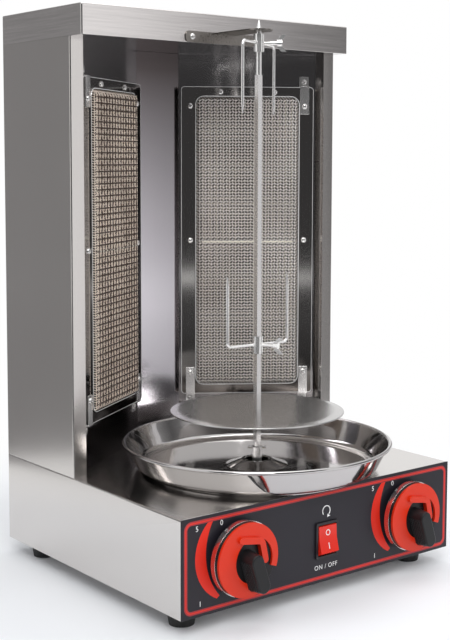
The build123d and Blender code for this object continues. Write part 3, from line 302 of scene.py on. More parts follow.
# colour and grain, then streak, cloud, roughness, spread, relief, metallic, specular, tint, heat
LOOKS = {
    "brushed_stainless": (STAINLESS, UPRIGHT, 0.035, 0.05, 0.20, 0.05),
    "polished_stainless": ((0.56, 0.545, 0.54), EVEN, 0.02, 0.06, 0.09, 0.04),
    "skewer_steel": ((0.90, 0.89, 0.88), UPRIGHT, 0.08, 0.05, 0.15, 0.06, 0.0, 0.8),
    "disc_steel": ((0.60, 0.59, 0.585), EVEN, 0.03, 0.04, 0.27, 0.015),
    "panel_black": ((0.016, 0.014, 0.020), EVEN, 0.15, 0.2, 0.42, 0.08, 0.0, 0.0, 0.35),
    "knob_black": ((0.010, 0.010, 0.011), EVEN, 0.2, 0.1, 0.36, 0.1, 0.05, 0.0, 0.3),
    "knob_orange": ((0.66, 0.026, 0.004), EVEN, 0.05, 0.14, 0.34, 0.08, 0.04, 0.0, 0.35),
    "knob_silver": ((0.72, 0.70, 0.69), UPRIGHT, 0.05, 0.05, 0.2, 0.05),
    "switch_black": ((0.015, 0.012, 0.015), EVEN, 0.2, 0.1, 0.35, 0.1, 0.03, 0.0, 0.4),
    "rocker_red": ((0.70, 0.018, 0.006), EVEN, 0.05, 0.1, 0.16, 0.05, 0.0, 0.0, 0.5),
    "foot_rubber": ((0.02, 0.02, 0.02), EVEN, 0.3, 0.2, 0.7, 0.15, 0.3, 0.0),
    "burner_wire": (
        (0.94, 0.885, 0.855), EVEN, 0.3, 0.2, 0.3, 0.1, 0.0, 0.25, 0.5, BROWN_TINT, 0.2,
    ),
    # painted shade: the tiles are near black, for the shade behind the net; the soot tint comes in
    # patches
    "burner_ceramic": (
        (0.035, 0.03, 0.026), EVEN, 0.1, 0.2, 0.8, 0.1, 0.3, 0.0, 0.3, SOOT_TINT, 0.7,
    ),
    "inner_sheet_steel": ((0.55, 0.55, 0.55), EVEN, 0.1, 0.2, 0.4, 0.1),
    "fastener_steel": ((0.86, 0.85, 0.84), EVEN, 0.06, 0.08, 0.14, 0.08, 0.0, 0.85),
    "valve_brass": ((0.72, 0.54, 0.26), EVEN, 0.08, 0.1, 0.3, 0.1),
    "terminal_white": ((0.82, 0.82, 0.78), EVEN, 0.03, 0.05, 0.4, 0.08, 0.0, 0.0),
}
MATERIALS = {name: grained(name, *look) for name, look in LOOKS.items()}
SLOT_OF = {row["node"]: row["material_slot"] for row in frame["record"]["subparts"]}

# nodes whose grain, polish or painted light and shade differ from the rest of their slot
CAP_STEEL = grained("cap_stainless", (0.74, 0.715, 0.70), ACROSS, 0.38, 0.06, 0.17, 0.08)
# painted shade: the inner walls darken towards the bottom, between 0.22 m and 0.13 m high
WALL_STEEL_SHADED = grained(
    "wall_stainless", (0.56, 0.545, 0.55), UPRIGHT, 0.03, 0.05, 0.12, 0.02,
    tint=(0.18, 0.165, 0.165), fade=(0.22, 0.13),
)
# painted reflection and shade: a brighter lavender copy of the inner steel, darkened towards the
# top under the ceiling, from 0.26 m to 0.53 m high
CENTRE_STEEL_LIT_AND_SHADED = grained(
    "centre_stainless", (0.88, 0.85, 0.90), UPRIGHT, 0.04, 0.12, 0.14, 0.02,
    tint=(0.11, 0.095, 0.095), fade=(0.26, 0.53),
)
# painted shade: a dark copy of the stainless for the top bracket, whose underside lies in shade
BRACKET_STEEL_SHADED = grained("flange_stainless", (0.30, 0.28, 0.26), EVEN, 0.5, 0.4, 0.3, 0.2, 0.2)
# painted shade: the burner frames darken towards the bottom, between 0.24 m and 0.16 m high
FRAME_STEEL_SHADED = grained(
    "frame_stainless", (0.60, 0.58, 0.565), EVEN, 0.02, 0.06, 0.08, 0.02,
    tint=(0.14, 0.125, 0.115), fade=(0.24, 0.16),
)
# painted highlight: a near-white, mostly matt steel for lines that stand for the bright edges of
# the window bead and the frame plate
HIGHLIGHT_STEEL = grained(
    "lip_stainless", (0.95, 0.945, 0.94), EVEN, 0.05, 0.1, 0.2, 0.05, metallic=0.35,
)
OWN_FINISH = {
    "cap": CAP_STEEL,
    "top_bracket": BRACKET_STEEL_SHADED,
    "inner_wall_left": WALL_STEEL_SHADED,
    "inner_wall_right": WALL_STEEL_SHADED,
    "centre_panel": CENTRE_STEEL_LIT_AND_SHADED,
    "ceiling_plate": WALL_STEEL_SHADED,
    "burner_frame_left": FRAME_STEEL_SHADED,
    "burner_frame_right": FRAME_STEEL_SHADED,
}
NET_WIRE = {
    "left": grained(
        "net_wire_warm", (0.95, 0.83, 0.72), EVEN, 0.3, 0.2, 0.3, 0.1,
        metallic=0.25, tint=BROWN_TINT, heat=0.2,
    ),
    "right": MATERIALS["burner_wire"],
}
# painted light and shade: shaded and lit copies of one coarse grid wire, dark brown on the left
# burner and pale on the right
GRID_WIRE = {
    "left": grained(
        "grid_wire_brown", (0.060, 0.034, 0.024), EVEN, 0.2, 0.2, 0.5, 0.1, metallic=0.2,
    ),
    "right": grained(
        "grid_wire_pale", (0.62, 0.57, 0.50), EVEN, 0.2, 0.2, 0.4, 0.1, metallic=0.4,
    ),
}
SEAM_WIRE = grained(
    "burner_seam_wire", (0.85, 0.80, 0.70), EVEN, 0.1, 0.3, 0.4, 0.1, metallic=0.3,
)


def ink(name, colour, streak, cloud):
    """A matt printing ink."""
    return grained(name, colour, EVEN, streak, cloud, 0.4, 0.05, metallic=0.0, specular=0.35)


INK_RED = ink("panel_ink_red", (0.72, 0.022, 0.008), 0.05, 0.2)
INK_DUSTY = ink("panel_ink_dusty_red", (0.36, 0.030, 0.036), 0.1, 0.4)
INK_WHITE = ink("panel_ink_white", (0.80, 0.80, 0.80), 0.02, 0.05)


# ---------------------------------------------------------------- mesh helpers
WELD = 2e-6
PLAIN_EDGE = 0.2 * MM
FLAT_SHEETS = ("base_bottom", "base_shell", "tower_shell")
LONG_EDGE = 60.0 * MM
# in degrees: where shading turns sharp, and what bends enough for a bevel
SMOOTH_ANGLE = 32.0
FLAT_SHEET_ANGLE = 20.0
FOLD_ANGLE = 30.0
GROWN_ANGLE = 50.0
LINE_ANGLE = 60.0


def new_object(name, mesh, material):
    made = bpy.data.objects.new(name, mesh)
    scene.collection.objects.link(made)
    mesh.materials.clear()
    mesh.materials.append(material)
    return made


def applied(made):
    """The object with its modifiers turned into a plain mesh."""
    graph = bpy.context.evaluated_depsgraph_get()
    plain = bpy.data.meshes.new_from_object(made.evaluated_get(graph))
    made.modifiers.clear()
    made.data = plain
    return made


def shade_by_angle(mesh, angle):
    for face in mesh.polygons:
        face.use_smooth = True
    mesh.set_sharp_from_angle(angle=math.radians(angle))


def matrix_of(across, up, out, place):
    """From across, up and out at a place to the row frame."""
    matrix = Matrix.Identity(4)
    for column, axis in enumerate((across, up, out, place)):
        matrix.col[column][:3] = axis
    return matrix


def mark_long_edges(work):
    """Bevel weights on the long edges alone, so that slots and holes in flat sheet keep theirs."""
    weight = work.edges.layers.float.new("bevel_weight_edge")
    for edge in work.edges:
        if edge.is_manifold and edge.calc_length() > LONG_EDGE:
            if edge.calc_face_angle() > math.radians(FOLD_ANGLE):
                edge[weight] = 1.0


def finished_copy(node, material, edge):
    """A welded copy of a CAD node with softened edges and smooth curved faces, standing for it."""
    source = frame["nodes"][node]
    mesh = source.data.copy()
    work = bmesh.new()
    work.from_mesh(mesh)
    bmesh.ops.remove_doubles(work, verts=work.verts, dist=WELD)
    if node in FLAT_SHEETS:
        mark_long_edges(work)
    work.to_mesh(mesh)
    work.free()
    shade_by_angle(mesh, SMOOTH_ANGLE)
    made = new_object(f"{node}_finished", mesh, material)
    bevel = made.modifiers.new("edge", "BEVEL")
    bevel.width = edge
    bevel.segments = 2
    bevel.limit_method = "WEIGHT" if node in FLAT_SHEETS else "ANGLE"
    bevel.angle_limit = math.radians(SMOOTH_ANGLE)
    if node in FLAT_SHEETS:
        applied(made)
        shade_by_angle(made.data, FLAT_SHEET_ANGLE)
    else:
        bevel.harden_normals = True
        weighted = made.modifiers.new("normals", "WEIGHTED_NORMAL")
        weighted.keep_sharp = True
        applied(made)
    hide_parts(node)
    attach(made, source["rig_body"])
    return made


def carried(made, body):
    """A new piece that rides on a body."""
    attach(made, body)
    return made


def grown(name, tree, material, mesh=None, **values):
    """A plain mesh made by a geometry tree from its named inputs."""
    made = new_object(name, mesh or bpy.data.meshes.new(name), material)
    maker = made.modifiers.new("maker", "NODES")
    maker.node_group = tree
    values["Material"] = material
    for item in tree.interface.items_tree:
        label = item.name.replace(" ", "_")
        if item.in_out == "INPUT" and label in values:
            maker[item.identifier] = values[label]
    applied(made)
    shade_by_angle(made.data, GROWN_ANGLE)
    return made


def mesh_of_curve(name, curve):
    """The plain mesh of a curve or of letters."""
    rough = bpy.data.objects.new(name, curve)
    scene.collection.objects.link(rough)
    graph = bpy.context.evaluated_depsgraph_get()
    mesh = bpy.data.meshes.new_from_object(rough.evaluated_get(graph))
    bpy.data.objects.remove(rough)
    return mesh


# ---------------------------------------------------------------- burner cages
WALL_START = (-159.7 * MM, 42.9 * MM)  # foot of the left wall at the front return
WALL_END = (-28.8 * MM, 131.0 * MM)
CAGE_MIDDLE = 225.0 * MM  # above the base top
CAGE_SIZE = (117.0 * MM, 330.0 * MM)
CAGE_BACK = 4.4 * MM  # out from the wall
CAGE_RISE = 6.3 * MM
CAGE_SHOULDER = 6.5 * MM
NET_PITCH = {"left": 2.5 * MM, "right": 3.4 * MM}
NET_RADIUS = {"left": 0.42 * MM, "right": 0.5 * MM}
NET_WAVE = 0.42 * MM
NET_SWAY = 0.22  # of its pitch
GRID_PITCH = (7.2 * MM, 6.35 * MM)
GRID_RADIUS = {"left": 0.85 * MM, "right": 0.3 * MM}
GRID_WAVE = 0.3 * MM
GRID_LIFT = 0.35 * MM  # out from the net
GRID_INSET = 1.2 * MM
GRID_DETAIL = 4
SEAM_STEPS = 24
SEAM_RADIUS = 0.8 * MM
SEAM_SWING = 0.45 * MM
SEAM_LIFT = 0.25 * MM
LIP = (118.8, 331.8, 9.4)  # width, height and corner, in millimetres
LIP_RADIUS = 0.75 * MM
LIP_HEIGHT = 7.2 * MM  # out from the wall
PLATE = (151.4, 353.4, 3.7)
PLATE_EDGE_RADIUS = 0.4 * MM
PLATE_HEIGHT = 5.95 * MM
base_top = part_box("base_shell")[1][2]
base_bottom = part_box("base_shell")[0][2]
panel_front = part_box("control_panel")[0][1]


def wall_matrix(side, height):
    """From across, up and out on a burner's face to the row frame; side is -1 on the left."""
    run = Vector((WALL_END[0] - WALL_START[0], WALL_END[1] - WALL_START[1], 0)).normalized()
    out = Vector((run.y, -run.x, 0))
    middle = Vector(((WALL_START[0] + WALL_END[0]) / 2, (WALL_START[1] + WALL_END[1]) / 2, 0))
    place = middle + out * height
    across = run
    if side > 0:
        across = Vector((run.x, -run.y, 0))
        out = Vector((-out.x, out.y, 0))
        place.x = -place.x
    return matrix_of(across, (0, 0, 1), out, (place.x, place.y, base_top + CAGE_MIDDLE))


def make_weave_tree():
    """Two crossing sets of wavy wires on a tray with rounded shoulders, X across and Y up."""
    tree, start, end = new_group(
        "woven_wire",
        "GeometryNodeTree",
        [
            ("Wires Across", COUNT, 10),
            ("Wires Up", COUNT, 10),
            ("Pitch Across", NUMBER, 0.0025),
            ("Pitch Up", NUMBER, 0.0025),
            ("Wire Radius", NUMBER, 0.0003),
            ("Wave", NUMBER, 0.0003),
            ("Sway", NUMBER, 0.0),
            ("Detail", COUNT, 1),
            ("Rise", NUMBER, 0.007),
            ("Shoulder", NUMBER, 0.006),
            ("Material", FINISH, None),
        ],
        [("Geometry", GEOMETRY)],
    )
    given = start.outputs
    gaps = {}
    for label in ("Wires Across", "Wires Up"):
        gaps[label] = calc(tree, "SUBTRACT", given[label], 1.0)
    width = calc(tree, "MULTIPLY", gaps["Wires Across"], given["Pitch Across"])
    height = calc(tree, "MULTIPLY", gaps["Wires Up"], given["Pitch Up"])
    point = node_of(tree, "ShaderNodeSeparateXYZ")
    tree.links.new(tree.nodes.new("GeometryNodeInputPosition").outputs[0], point.inputs[0])
    x, y = point.outputs["X"], point.outputs["Y"]
    turns_x = calc(tree, "DIVIDE", x, given["Pitch Across"])
    turns = calc(tree, "ADD", turns_x, calc(tree, "DIVIDE", y, given["Pitch Up"]))
    weaving = calc(tree, "COSINE", calc(tree, "MULTIPLY", turns, math.pi))
    swing = calc(tree, "MULTIPLY", weaving, given["Wave"])
    sways = {}
    for axis, along, pitch in (("X", y, "Pitch Up"), ("Y", x, "Pitch Across")):
        phase = calc(tree, "MULTIPLY", calc(tree, "DIVIDE", along, given[pitch]), math.pi)
        sways[axis] = calc(tree, "MULTIPLY", calc(tree, "COSINE", phase), given["Sway"])
    edge_x = calc(tree, "MINIMUM", x, calc(tree, "SUBTRACT", width, x))
    edge_y = calc(tree, "MINIMUM", y, calc(tree, "SUBTRACT", height, y))
    inset = calc(tree, "DIVIDE", calc(tree, "MINIMUM", edge_x, edge_y), given["Shoulder"])
    slope = calc(tree, "MAXIMUM", 0.0, calc(tree, "SUBTRACT", 1.0, inset))
    fall = calc(tree, "SUBTRACT", 1.0, calc(tree, "MULTIPLY", slope, slope))
    shoulder = calc(tree, "SQRT", calc(tree, "MAXIMUM", 0.0, fall))
    lift = calc(tree, "MULTIPLY", shoulder, given["Rise"])
    joined = tree.nodes.new("GeometryNodeJoinGeometry")
    directions = (
        ("Wires Across", "Pitch Across", "X", "Wires Up", height, "Y", 1.0),
        ("Wires Up", "Pitch Up", "Y", "Wires Across", width, "X", -1.0),
    )
    for count, pitch, step_axis, samples, length, run_axis, sense in directions:
        row = node_of(tree, "GeometryNodeMeshLine", mode="OFFSET")
        step = tree.nodes.new("ShaderNodeCombineXYZ")
        tree.links.new(given[pitch], step.inputs[step_axis])
        tree.links.new(given[count], row.inputs["Count"])
        tree.links.new(step.outputs[0], row.inputs["Offset"])
        wire = node_of(tree, "GeometryNodeCurvePrimitiveLine", mode="POINTS")
        reach = tree.nodes.new("ShaderNodeCombineXYZ")
        tree.links.new(length, reach.inputs[run_axis])
        tree.links.new(reach.outputs[0], wire.inputs["End"])
        sampled = tree.nodes.new("GeometryNodeResampleCurve")
        tree.links.new(wire.outputs[0], sampled.inputs["Curve"])
        stretches = calc(tree, "MULTIPLY", gaps[samples], given["Detail"])
        tree.links.new(calc(tree, "ADD", stretches, 1.0), sampled.inputs["Count"])
        real = copies_on(tree, row.outputs["Mesh"], sampled.outputs[0])
        shift = tree.nodes.new("ShaderNodeCombineXYZ")
        for axis, size in (("X", width), ("Y", height)):
            aside = calc(tree, "MULTIPLY", size, -0.5)
            if axis == step_axis:
                aside = calc(tree, "ADD", aside, sways[axis])
            tree.links.new(aside, shift.inputs[axis])
        tree.links.new(calc(tree, "MULTIPLY_ADD", swing, sense, lift), shift.inputs["Z"])
        moved = tree.nodes.new("GeometryNodeSetPosition")
        tree.links.new(real, moved.inputs["Geometry"])
        tree.links.new(shift.outputs[0], moved.inputs["Offset"])
        tree.links.new(moved.outputs[0], joined.inputs[0])
    profile = node_of(tree, "GeometryNodeCurvePrimitiveCircle", Resolution=4)
    tree.links.new(given["Wire Radius"], profile.inputs["Radius"])
    tube = tree.nodes.new("GeometryNodeCurveToMesh")
    tree.links.new(joined.outputs[0], tube.inputs["Curve"])
    tree.links.new(profile.outputs[0], tube.inputs["Profile Curve"])
    coat_and_end(tree, tube.outputs[0], start, end)
    return tree


def weave(name, tree, material, side, pitch, wire, wave, height, inset=0.0, sway=0.0, detail=1):
    """Woven wire over one burner's window."""
    spans = [size - 2 * inset for size in CAGE_SIZE]
    counts = [round(span / step) + 1 for span, step in zip(spans, pitch)]
    made = grown(
        name, tree, material,
        Wires_Across=counts[0], Wires_Up=counts[1],
        Pitch_Across=spans[0] / (counts[0] - 1), Pitch_Up=spans[1] / (counts[1] - 1),
        Wire_Radius=wire, Wave=wave, Sway=sway, Detail=detail,
        Rise=CAGE_RISE, Shoulder=CAGE_SHOULDER,
    )
    made.data.transform(wall_matrix(side, height))
    return carried(made, "cabinet")


def face_line(name, side, spots, radius, height, material, closed=False):
    """A thin round bar through points on a burner's face."""
    curve = bpy.data.curves.new(name, "CURVE")
    curve.dimensions = "3D"
    curve.bevel_depth = radius
    curve.bevel_resolution = 1
    line = curve.splines.new("POLY")
    line.points.add(len(spots) - 1)
    line.use_cyclic_u = closed
    for point, spot in zip(line.points, spots):
        point.co = (*spot, 1)
    made = new_object(name, mesh_of_curve(name, curve), material)
    made.data.transform(wall_matrix(side, height))
    shade_by_angle(made.data, LINE_ANGLE)
    return carried(made, "cabinet")


def seam_wire(name, side):
    """The pale joint between the two tiles that shows through the net."""
    width = CAGE_SIZE[0] - 2 * CAGE_SHOULDER
    spots = [
        (width * (index / SEAM_STEPS - 0.5), 0, SEAM_SWING if index % 2 else -SEAM_SWING)
        for index in range(SEAM_STEPS + 1)
    ]
    height = CAGE_BACK + CAGE_RISE + SEAM_LIFT
    return face_line(name, side, spots, SEAM_RADIUS, height, SEAM_WIRE)


def highlight_line(name, side, size, radius, height):
    """A painted highlight: a near-white line along a burner's window bead or round its frame plate.
    """
    spots = [(x * MM, y * MM, 0) for x, y in rounded(*size)]
    return face_line(
        name, side, spots, radius, height, HIGHLIGHT_STEEL, closed=True,
    )


def make_cages():
    tree = make_weave_tree()
    for side, word in ((-1, "left"), (1, "right")):
        pitch = NET_PITCH[word]
        net = weave(
            f"burner_net_{word}", tree, NET_WIRE[word], side, (pitch, pitch),
            NET_RADIUS[word], NET_WAVE, CAGE_BACK, sway=NET_SWAY * pitch,
        )
        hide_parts(f"burner_mesh_{word}")
        weave(
            f"burner_grid_{word}", tree, GRID_WIRE[word], side, GRID_PITCH,
            GRID_RADIUS[word], GRID_WAVE, CAGE_BACK + GRID_LIFT, GRID_INSET, detail=GRID_DETAIL,
        )
        seam_wire(f"burner_seam_{word}", side)
        # painted highlights along the window bead and round the frame plate
        highlight_line(f"window_lip_{word}", side, LIP, LIP_RADIUS, LIP_HEIGHT)
        highlight_line(f"plate_edge_{word}", side, PLATE, PLATE_EDGE_RADIUS, PLATE_HEIGHT)


# ---------------------------------------------------------------- screws
HEAD_HEIGHT = 2.0 * MM
HEAD_SIDES = 16
# in millimetres: radius and height of the head's rings, and the cross over a quarter turn
HEAD_RINGS = ((3.2, 0.0), (3.2, 0.5), (3.0, 1.1), (2.4, 1.65))
RECESS_REACH = (1.9, 1.2, 0.7, 1.2)
RECESS_RINGS = ((1.0, 1.95), (0.6, 0.4))  # scale and height of the cross: its rim, its floor


def make_screw_head():
    """A pan head with a cross recess, its seat at the origin, Z outwards."""
    outlines = [([radius] * HEAD_SIDES, height) for radius, height in HEAD_RINGS]
    for scale, height in RECESS_RINGS:
        reaches = [RECESS_REACH[k % len(RECESS_REACH)] * scale for k in range(HEAD_SIDES)]
        outlines.append((reaches, height))
    turns = [2 * math.pi * k / HEAD_SIDES for k in range(HEAD_SIDES)]
    work = bmesh.new()
    rows = []
    for reaches, height in outlines:
        spots = [
            (reach * MM * math.cos(turn), reach * MM * math.sin(turn), height * MM)
            for reach, turn in zip(reaches, turns)
        ]
        rows.append([work.verts.new(spot) for spot in spots])
    for low, high in zip(rows, rows[1:]):
        for k in range(HEAD_SIDES):
            n = (k + 1) % HEAD_SIDES
            work.faces.new((low[k], low[n], high[n], high[k]))
    work.faces.new(rows[-1])
    work.faces.new(list(reversed(rows[0])))
    bmesh.ops.recalc_face_normals(work, faces=work.faces)
    mesh = bpy.data.meshes.new("screw_head")
    work.to_mesh(mesh)
    work.free()
    return new_object("screw_head", mesh, MATERIALS["fastener_steel"])


def make_screw_tree():
    """The head object on every point, turned to the direction that the point carries."""
    tree, start, end = new_group(
        "screw_heads",
        "GeometryNodeTree",
        [("Places", GEOMETRY, None), ("Head", SOLID, None), ("Material", FINISH, None)],
        [("Geometry", GEOMETRY)],
    )
    facing = node_of(
        tree, "GeometryNodeInputNamedAttribute", data_type="FLOAT_VECTOR", Name="facing",
    )
    turned = node_of(tree, "FunctionNodeAlignRotationToVector", axis="Z")
    tree.links.new(facing.outputs["Attribute"], turned.inputs["Vector"])
    source = tree.nodes.new("GeometryNodeObjectInfo")
    tree.links.new(start.outputs["Head"], source.inputs["Object"])
    real = copies_on(tree, start.outputs["Places"], source.outputs["Geometry"], turned.outputs[0])
    coat_and_end(tree, real, start, end)
    return tree


def loose_middles(node):
    """The middle of each separate solid of a CAD node, in the order of its vertices."""
    work = bmesh.new()
    work.from_mesh(frame["nodes"][node].data)
    bmesh.ops.remove_doubles(work, verts=work.verts, dist=WELD)
    left = set(work.verts)
    middles = []
    for seed in work.verts:
        if seed not in left:
            continue
        left.discard(seed)
        group, front = [], [seed]
        while front:
            vert = front.pop()
            group.append(vert.co)
            for edge in vert.link_edges:
                other = edge.other_vert(vert)
                if other in left:
                    left.discard(other)
                    front.append(other)
        low = Vector([min(co[k] for co in group) for k in range(3)])
        high = Vector([max(co[k] for co in group) for k in range(3)])
        middles.append((low + high) / 2)
    work.free()
    return middles


def make_screws():
    tree = make_screw_tree()
    head = make_screw_head()
    left_out = wall_matrix(-1, 0).col[2].to_3d()
    right_out = wall_matrix(1, 0).col[2].to_3d()
    outward = {
        "burner_screws": lambda place: left_out if place.x < 0 else right_out,
        "bracket_screws": lambda place: Vector((0, -1, 0)),
    }
    for node, facing_of in outward.items():
        middles = loose_middles(node)
        facings = [facing_of(place) for place in middles]
        seats = [place - facing * HEAD_HEIGHT / 2 for place, facing in zip(middles, facings)]
        mesh = bpy.data.meshes.new(node)
        mesh.from_pydata([tuple(seat) for seat in seats], [], [])
        attribute = mesh.attributes.new("facing", "FLOAT_VECTOR", "POINT")
        attribute.data.foreach_set("vector", [value for facing in facings for value in facing])
        made = grown(f"{node}_heads", tree, MATERIALS["fastener_steel"], mesh, Head=head)
        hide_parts(node)
        carried(made, "cabinet")
    bpy.data.objects.remove(head)


# ---------------------------------------------------------------- printed panel
INK = 0.06 * MM  # thickness of the print
KNOB_X = 110.5 * MM
KNOB_Z = 64.5 * MM
SWITCH_Z = 59.0 * MM
PANEL_HEIGHT = 92.5 * MM
ARC_STEPS = 28
CORNER_STEPS = 8
# outer and inner outline: width, height and corner, in millimetres
BORDER = ((344.0, 86.5, 8.0), (336.6, 79.1, 4.6))
BORDER_LINE = ((341.2, 83.7, 6.8), (339.0, 81.5, 5.7))
# outer and inner arc: place, radius, and start and end in degrees
CRESCENT = ((-4.3, 5.2, 44.8, 132.9, 243.1), (24.0, 8.5, 61.0, 150.5, 222.0))
TURN_ARC = ((0, 0, 5.4, -50, 220), (0, 0, 4.4, -50, 220))
TURN_ARROW = (((1.6, -3.4), (1.2, -6.6)), ((5.4, -5.6), (1.3, -6.5)))
TURN_SIGN_RISE = 28.5 * MM  # above the switch's middle
DIAL_MARKS = (("5", (-47.0, 34.0)), ("1", (-43.5, -36.0)), ("0", (-19.0, 35.0)))
DIAL_MARK_SIZE = 7.0 * MM
SWITCH_MARK_SIZE = 6.4 * MM
SWITCH_MARK_DROP = 27.0 * MM
LETTER_SPACING = 1.15


def slab(work, outer, inner, place, thickness=INK, closed=False):
    """Adds a thin solid between two rows of points, given in millimetres on a plane."""
    rows = []
    for height in (0.0, thickness):
        rows.append([])
        for outline in (outer, inner):
            spots = [place @ Vector((x * MM, y * MM, height)) for x, y in outline]
            rows[-1].append([work.verts.new(spot) for spot in spots])
    low, high = rows
    count = len(outer)
    for k in range(count if closed else count - 1):
        n = (k + 1) % count
        work.faces.new((high[0][k], high[0][n], high[1][n], high[1][k]))
        work.faces.new((low[0][k], low[1][k], low[1][n], low[0][n]))
        for side in (0, 1):
            work.faces.new((low[side][k], low[side][n], high[side][n], high[side][k]))
    if not closed:
        for k in (0, -1):
            work.faces.new((low[0][k], high[0][k], high[1][k], low[1][k]))


def arc(x, y, radius, start, end, steps=ARC_STEPS):
    """Points on a circle, in millimetres and degrees."""
    angles = [math.radians(start + (end - start) * k / steps) for k in range(steps + 1)]
    return [(x + radius * math.cos(a), y + radius * math.sin(a)) for a in angles]


def rounded(width, height, radius):
    """A rounded rectangle's outline about the origin."""
    points = []
    for corner, (sx, sy) in enumerate(((1, 1), (-1, 1), (-1, -1), (1, -1))):
        middle = (sx * (width / 2 - radius), sy * (height / 2 - radius))
        points += arc(*middle, radius, 90 * corner, 90 * corner + 90, CORNER_STEPS)
    return points


def print_matrix(x, z, lift=0.0):
    """From a drawing on the panel to the row frame."""
    return matrix_of((1, 0, 0), (0, 0, 1), (0, -1, 0), (x, panel_front - lift, z))


def finished_print(name, work, material, body):
    bmesh.ops.recalc_face_normals(work, faces=work.faces)
    mesh = bpy.data.meshes.new(name)
    work.to_mesh(mesh)
    work.free()
    return carried(new_object(name, mesh, material), body)


def add_word(work, text, size, matrix):
    """Adds raised letters, centred on the matrix's origin, to a bmesh."""
    curve = bpy.data.curves.new("mark", "FONT")
    curve.body = text
    curve.size = size
    curve.align_x, curve.align_y = "CENTER", "CENTER"
    curve.extrude = INK / 2
    curve.resolution_u = 4
    curve.space_character = LETTER_SPACING
    mesh = mesh_of_curve("mark", curve)
    mesh.transform(matrix @ Matrix.Translation((0, 0, INK / 2)))
    work.from_mesh(mesh)
    bpy.data.meshes.remove(mesh)


def make_panel_print():
    middle_z = base_bottom + PANEL_HEIGHT / 2
    bands = (
        ("panel_border", BORDER, INK_DUSTY, 0.0),
        ("panel_border_line", BORDER_LINE, INK_RED, INK),
    )
    for name, (outer, inner), material, lift in bands:
        band = bmesh.new()
        slab(band, rounded(*outer), rounded(*inner), print_matrix(0, middle_z, lift), closed=True)
        finished_print(name, band, material, "cabinet")
    crescents = bmesh.new()
    marks = bmesh.new()
    for x in (-KNOB_X, KNOB_X):
        slab(crescents, *(arc(*side) for side in CRESCENT), print_matrix(x, KNOB_Z))
        for text, spot in DIAL_MARKS:
            place = print_matrix(x + spot[0] * MM, KNOB_Z + spot[1] * MM)
            add_word(marks, text, DIAL_MARK_SIZE, place)
    add_word(marks, "ON / OFF", SWITCH_MARK_SIZE, print_matrix(0, SWITCH_Z - SWITCH_MARK_DROP))
    turn_sign = print_matrix(0, SWITCH_Z + TURN_SIGN_RISE)
    slab(marks, *(arc(*side) for side in TURN_ARC), turn_sign)
    slab(marks, *TURN_ARROW, turn_sign)
    finished_print("panel_crescents", crescents, INK_RED, "cabinet")
    finished_print("panel_marks", marks, INK_WHITE, "cabinet")


ROCKER_PIVOT = (0.0, -152.1 * MM, SWITCH_Z)
ROCKER_LEAN = math.radians(9.0)
ROCKER_CROWN = 7.5 * MM
ROCKER_VALLEY = 1.4 * MM
ROCKER_HALF = 13.0 * MM
# in millimetres: the circle's outer and inner radius, the bar's half width and half length
ROCKER_RING = (2.9, 2.1)
ROCKER_BAR = (0.45, 3.0)


def make_rocker_marks():
    """A circle and a bar on the rocker's two slopes."""
    side = Vector((1, 0, 0))
    out = Vector((0, -math.cos(ROCKER_LEAN), math.sin(ROCKER_LEAN)))
    up = Vector((0, math.sin(ROCKER_LEAN), math.cos(ROCKER_LEAN)))
    crest = Vector(ROCKER_PIVOT) + out * (ROCKER_CROWN - ROCKER_VALLEY / 2)
    work = bmesh.new()
    for sense in (1, -1):
        along = (up * sense * ROCKER_HALF + out * ROCKER_VALLEY).normalized()
        rise = along * sense
        matrix = matrix_of(side, rise, side.cross(rise), crest + up * sense * ROCKER_HALF / 2)
        if sense > 0:
            outer, inner = (arc(0, 0, radius, 0, 360)[:-1] for radius in ROCKER_RING)
            slab(work, outer, inner, matrix, closed=True)
        else:
            half, tall = ROCKER_BAR
            slab(work, [(-half, tall), (-half, -tall)], [(half, tall), (half, -tall)], matrix)
    finished_print("rocker_marks", work, INK_WHITE, "rocker")


# ---------------------------------------------------------------- knob grips
GRIP_ANGLE = -72.0
GRIP_DRAFT = math.radians(6.0)
GRIP_HALF_WIDTH = 8.5 * MM
GRIP_RIBS = 6
GRIP_RIB_STEP = 2.2 * MM
GRIP_RIB_LENGTH = 29.0 * MM
GRIP_RIB_RADIUS = 0.6 * MM
GRIP_RIB_SINK = 0.2 * MM  # into the grip's flank
GRIP_RIB_START = -3.0 * MM  # along the grip, from the knob's axis
GRIP_RIB_FOOT = 16.2 * MM  # out from the panel


def make_rib_tree():
    """Round bars side by side, each along X."""
    tree, start, end = new_group(
        "grip_ribs",
        "GeometryNodeTree",
        [
            ("Count", COUNT, 5), ("Step", VECTOR, (0, 0, 0.002)), ("Length", NUMBER, 0.03),
            ("Radius", NUMBER, 0.0006), ("Material", FINISH, None),
        ],
        [("Geometry", GEOMETRY)],
    )
    given = start.outputs
    row = node_of(tree, "GeometryNodeMeshLine", mode="OFFSET")
    tree.links.new(given["Count"], row.inputs["Count"])
    tree.links.new(given["Step"], row.inputs["Offset"])
    bar = node_of(tree, "GeometryNodeCurvePrimitiveLine", mode="POINTS")
    reach = tree.nodes.new("ShaderNodeCombineXYZ")
    tree.links.new(given["Length"], reach.inputs["X"])
    tree.links.new(reach.outputs[0], bar.inputs["End"])
    profile = node_of(tree, "GeometryNodeCurvePrimitiveCircle", Resolution=8)
    tree.links.new(given["Radius"], profile.inputs["Radius"])
    tube = node_of(tree, "GeometryNodeCurveToMesh", Fill_Caps=True)
    tree.links.new(bar.outputs[0], tube.inputs["Curve"])
    tree.links.new(profile.outputs[0], tube.inputs["Profile Curve"])
    real = copies_on(tree, row.outputs["Mesh"], tube.outputs[0])
    coat_and_end(tree, real, start, end)
    return tree


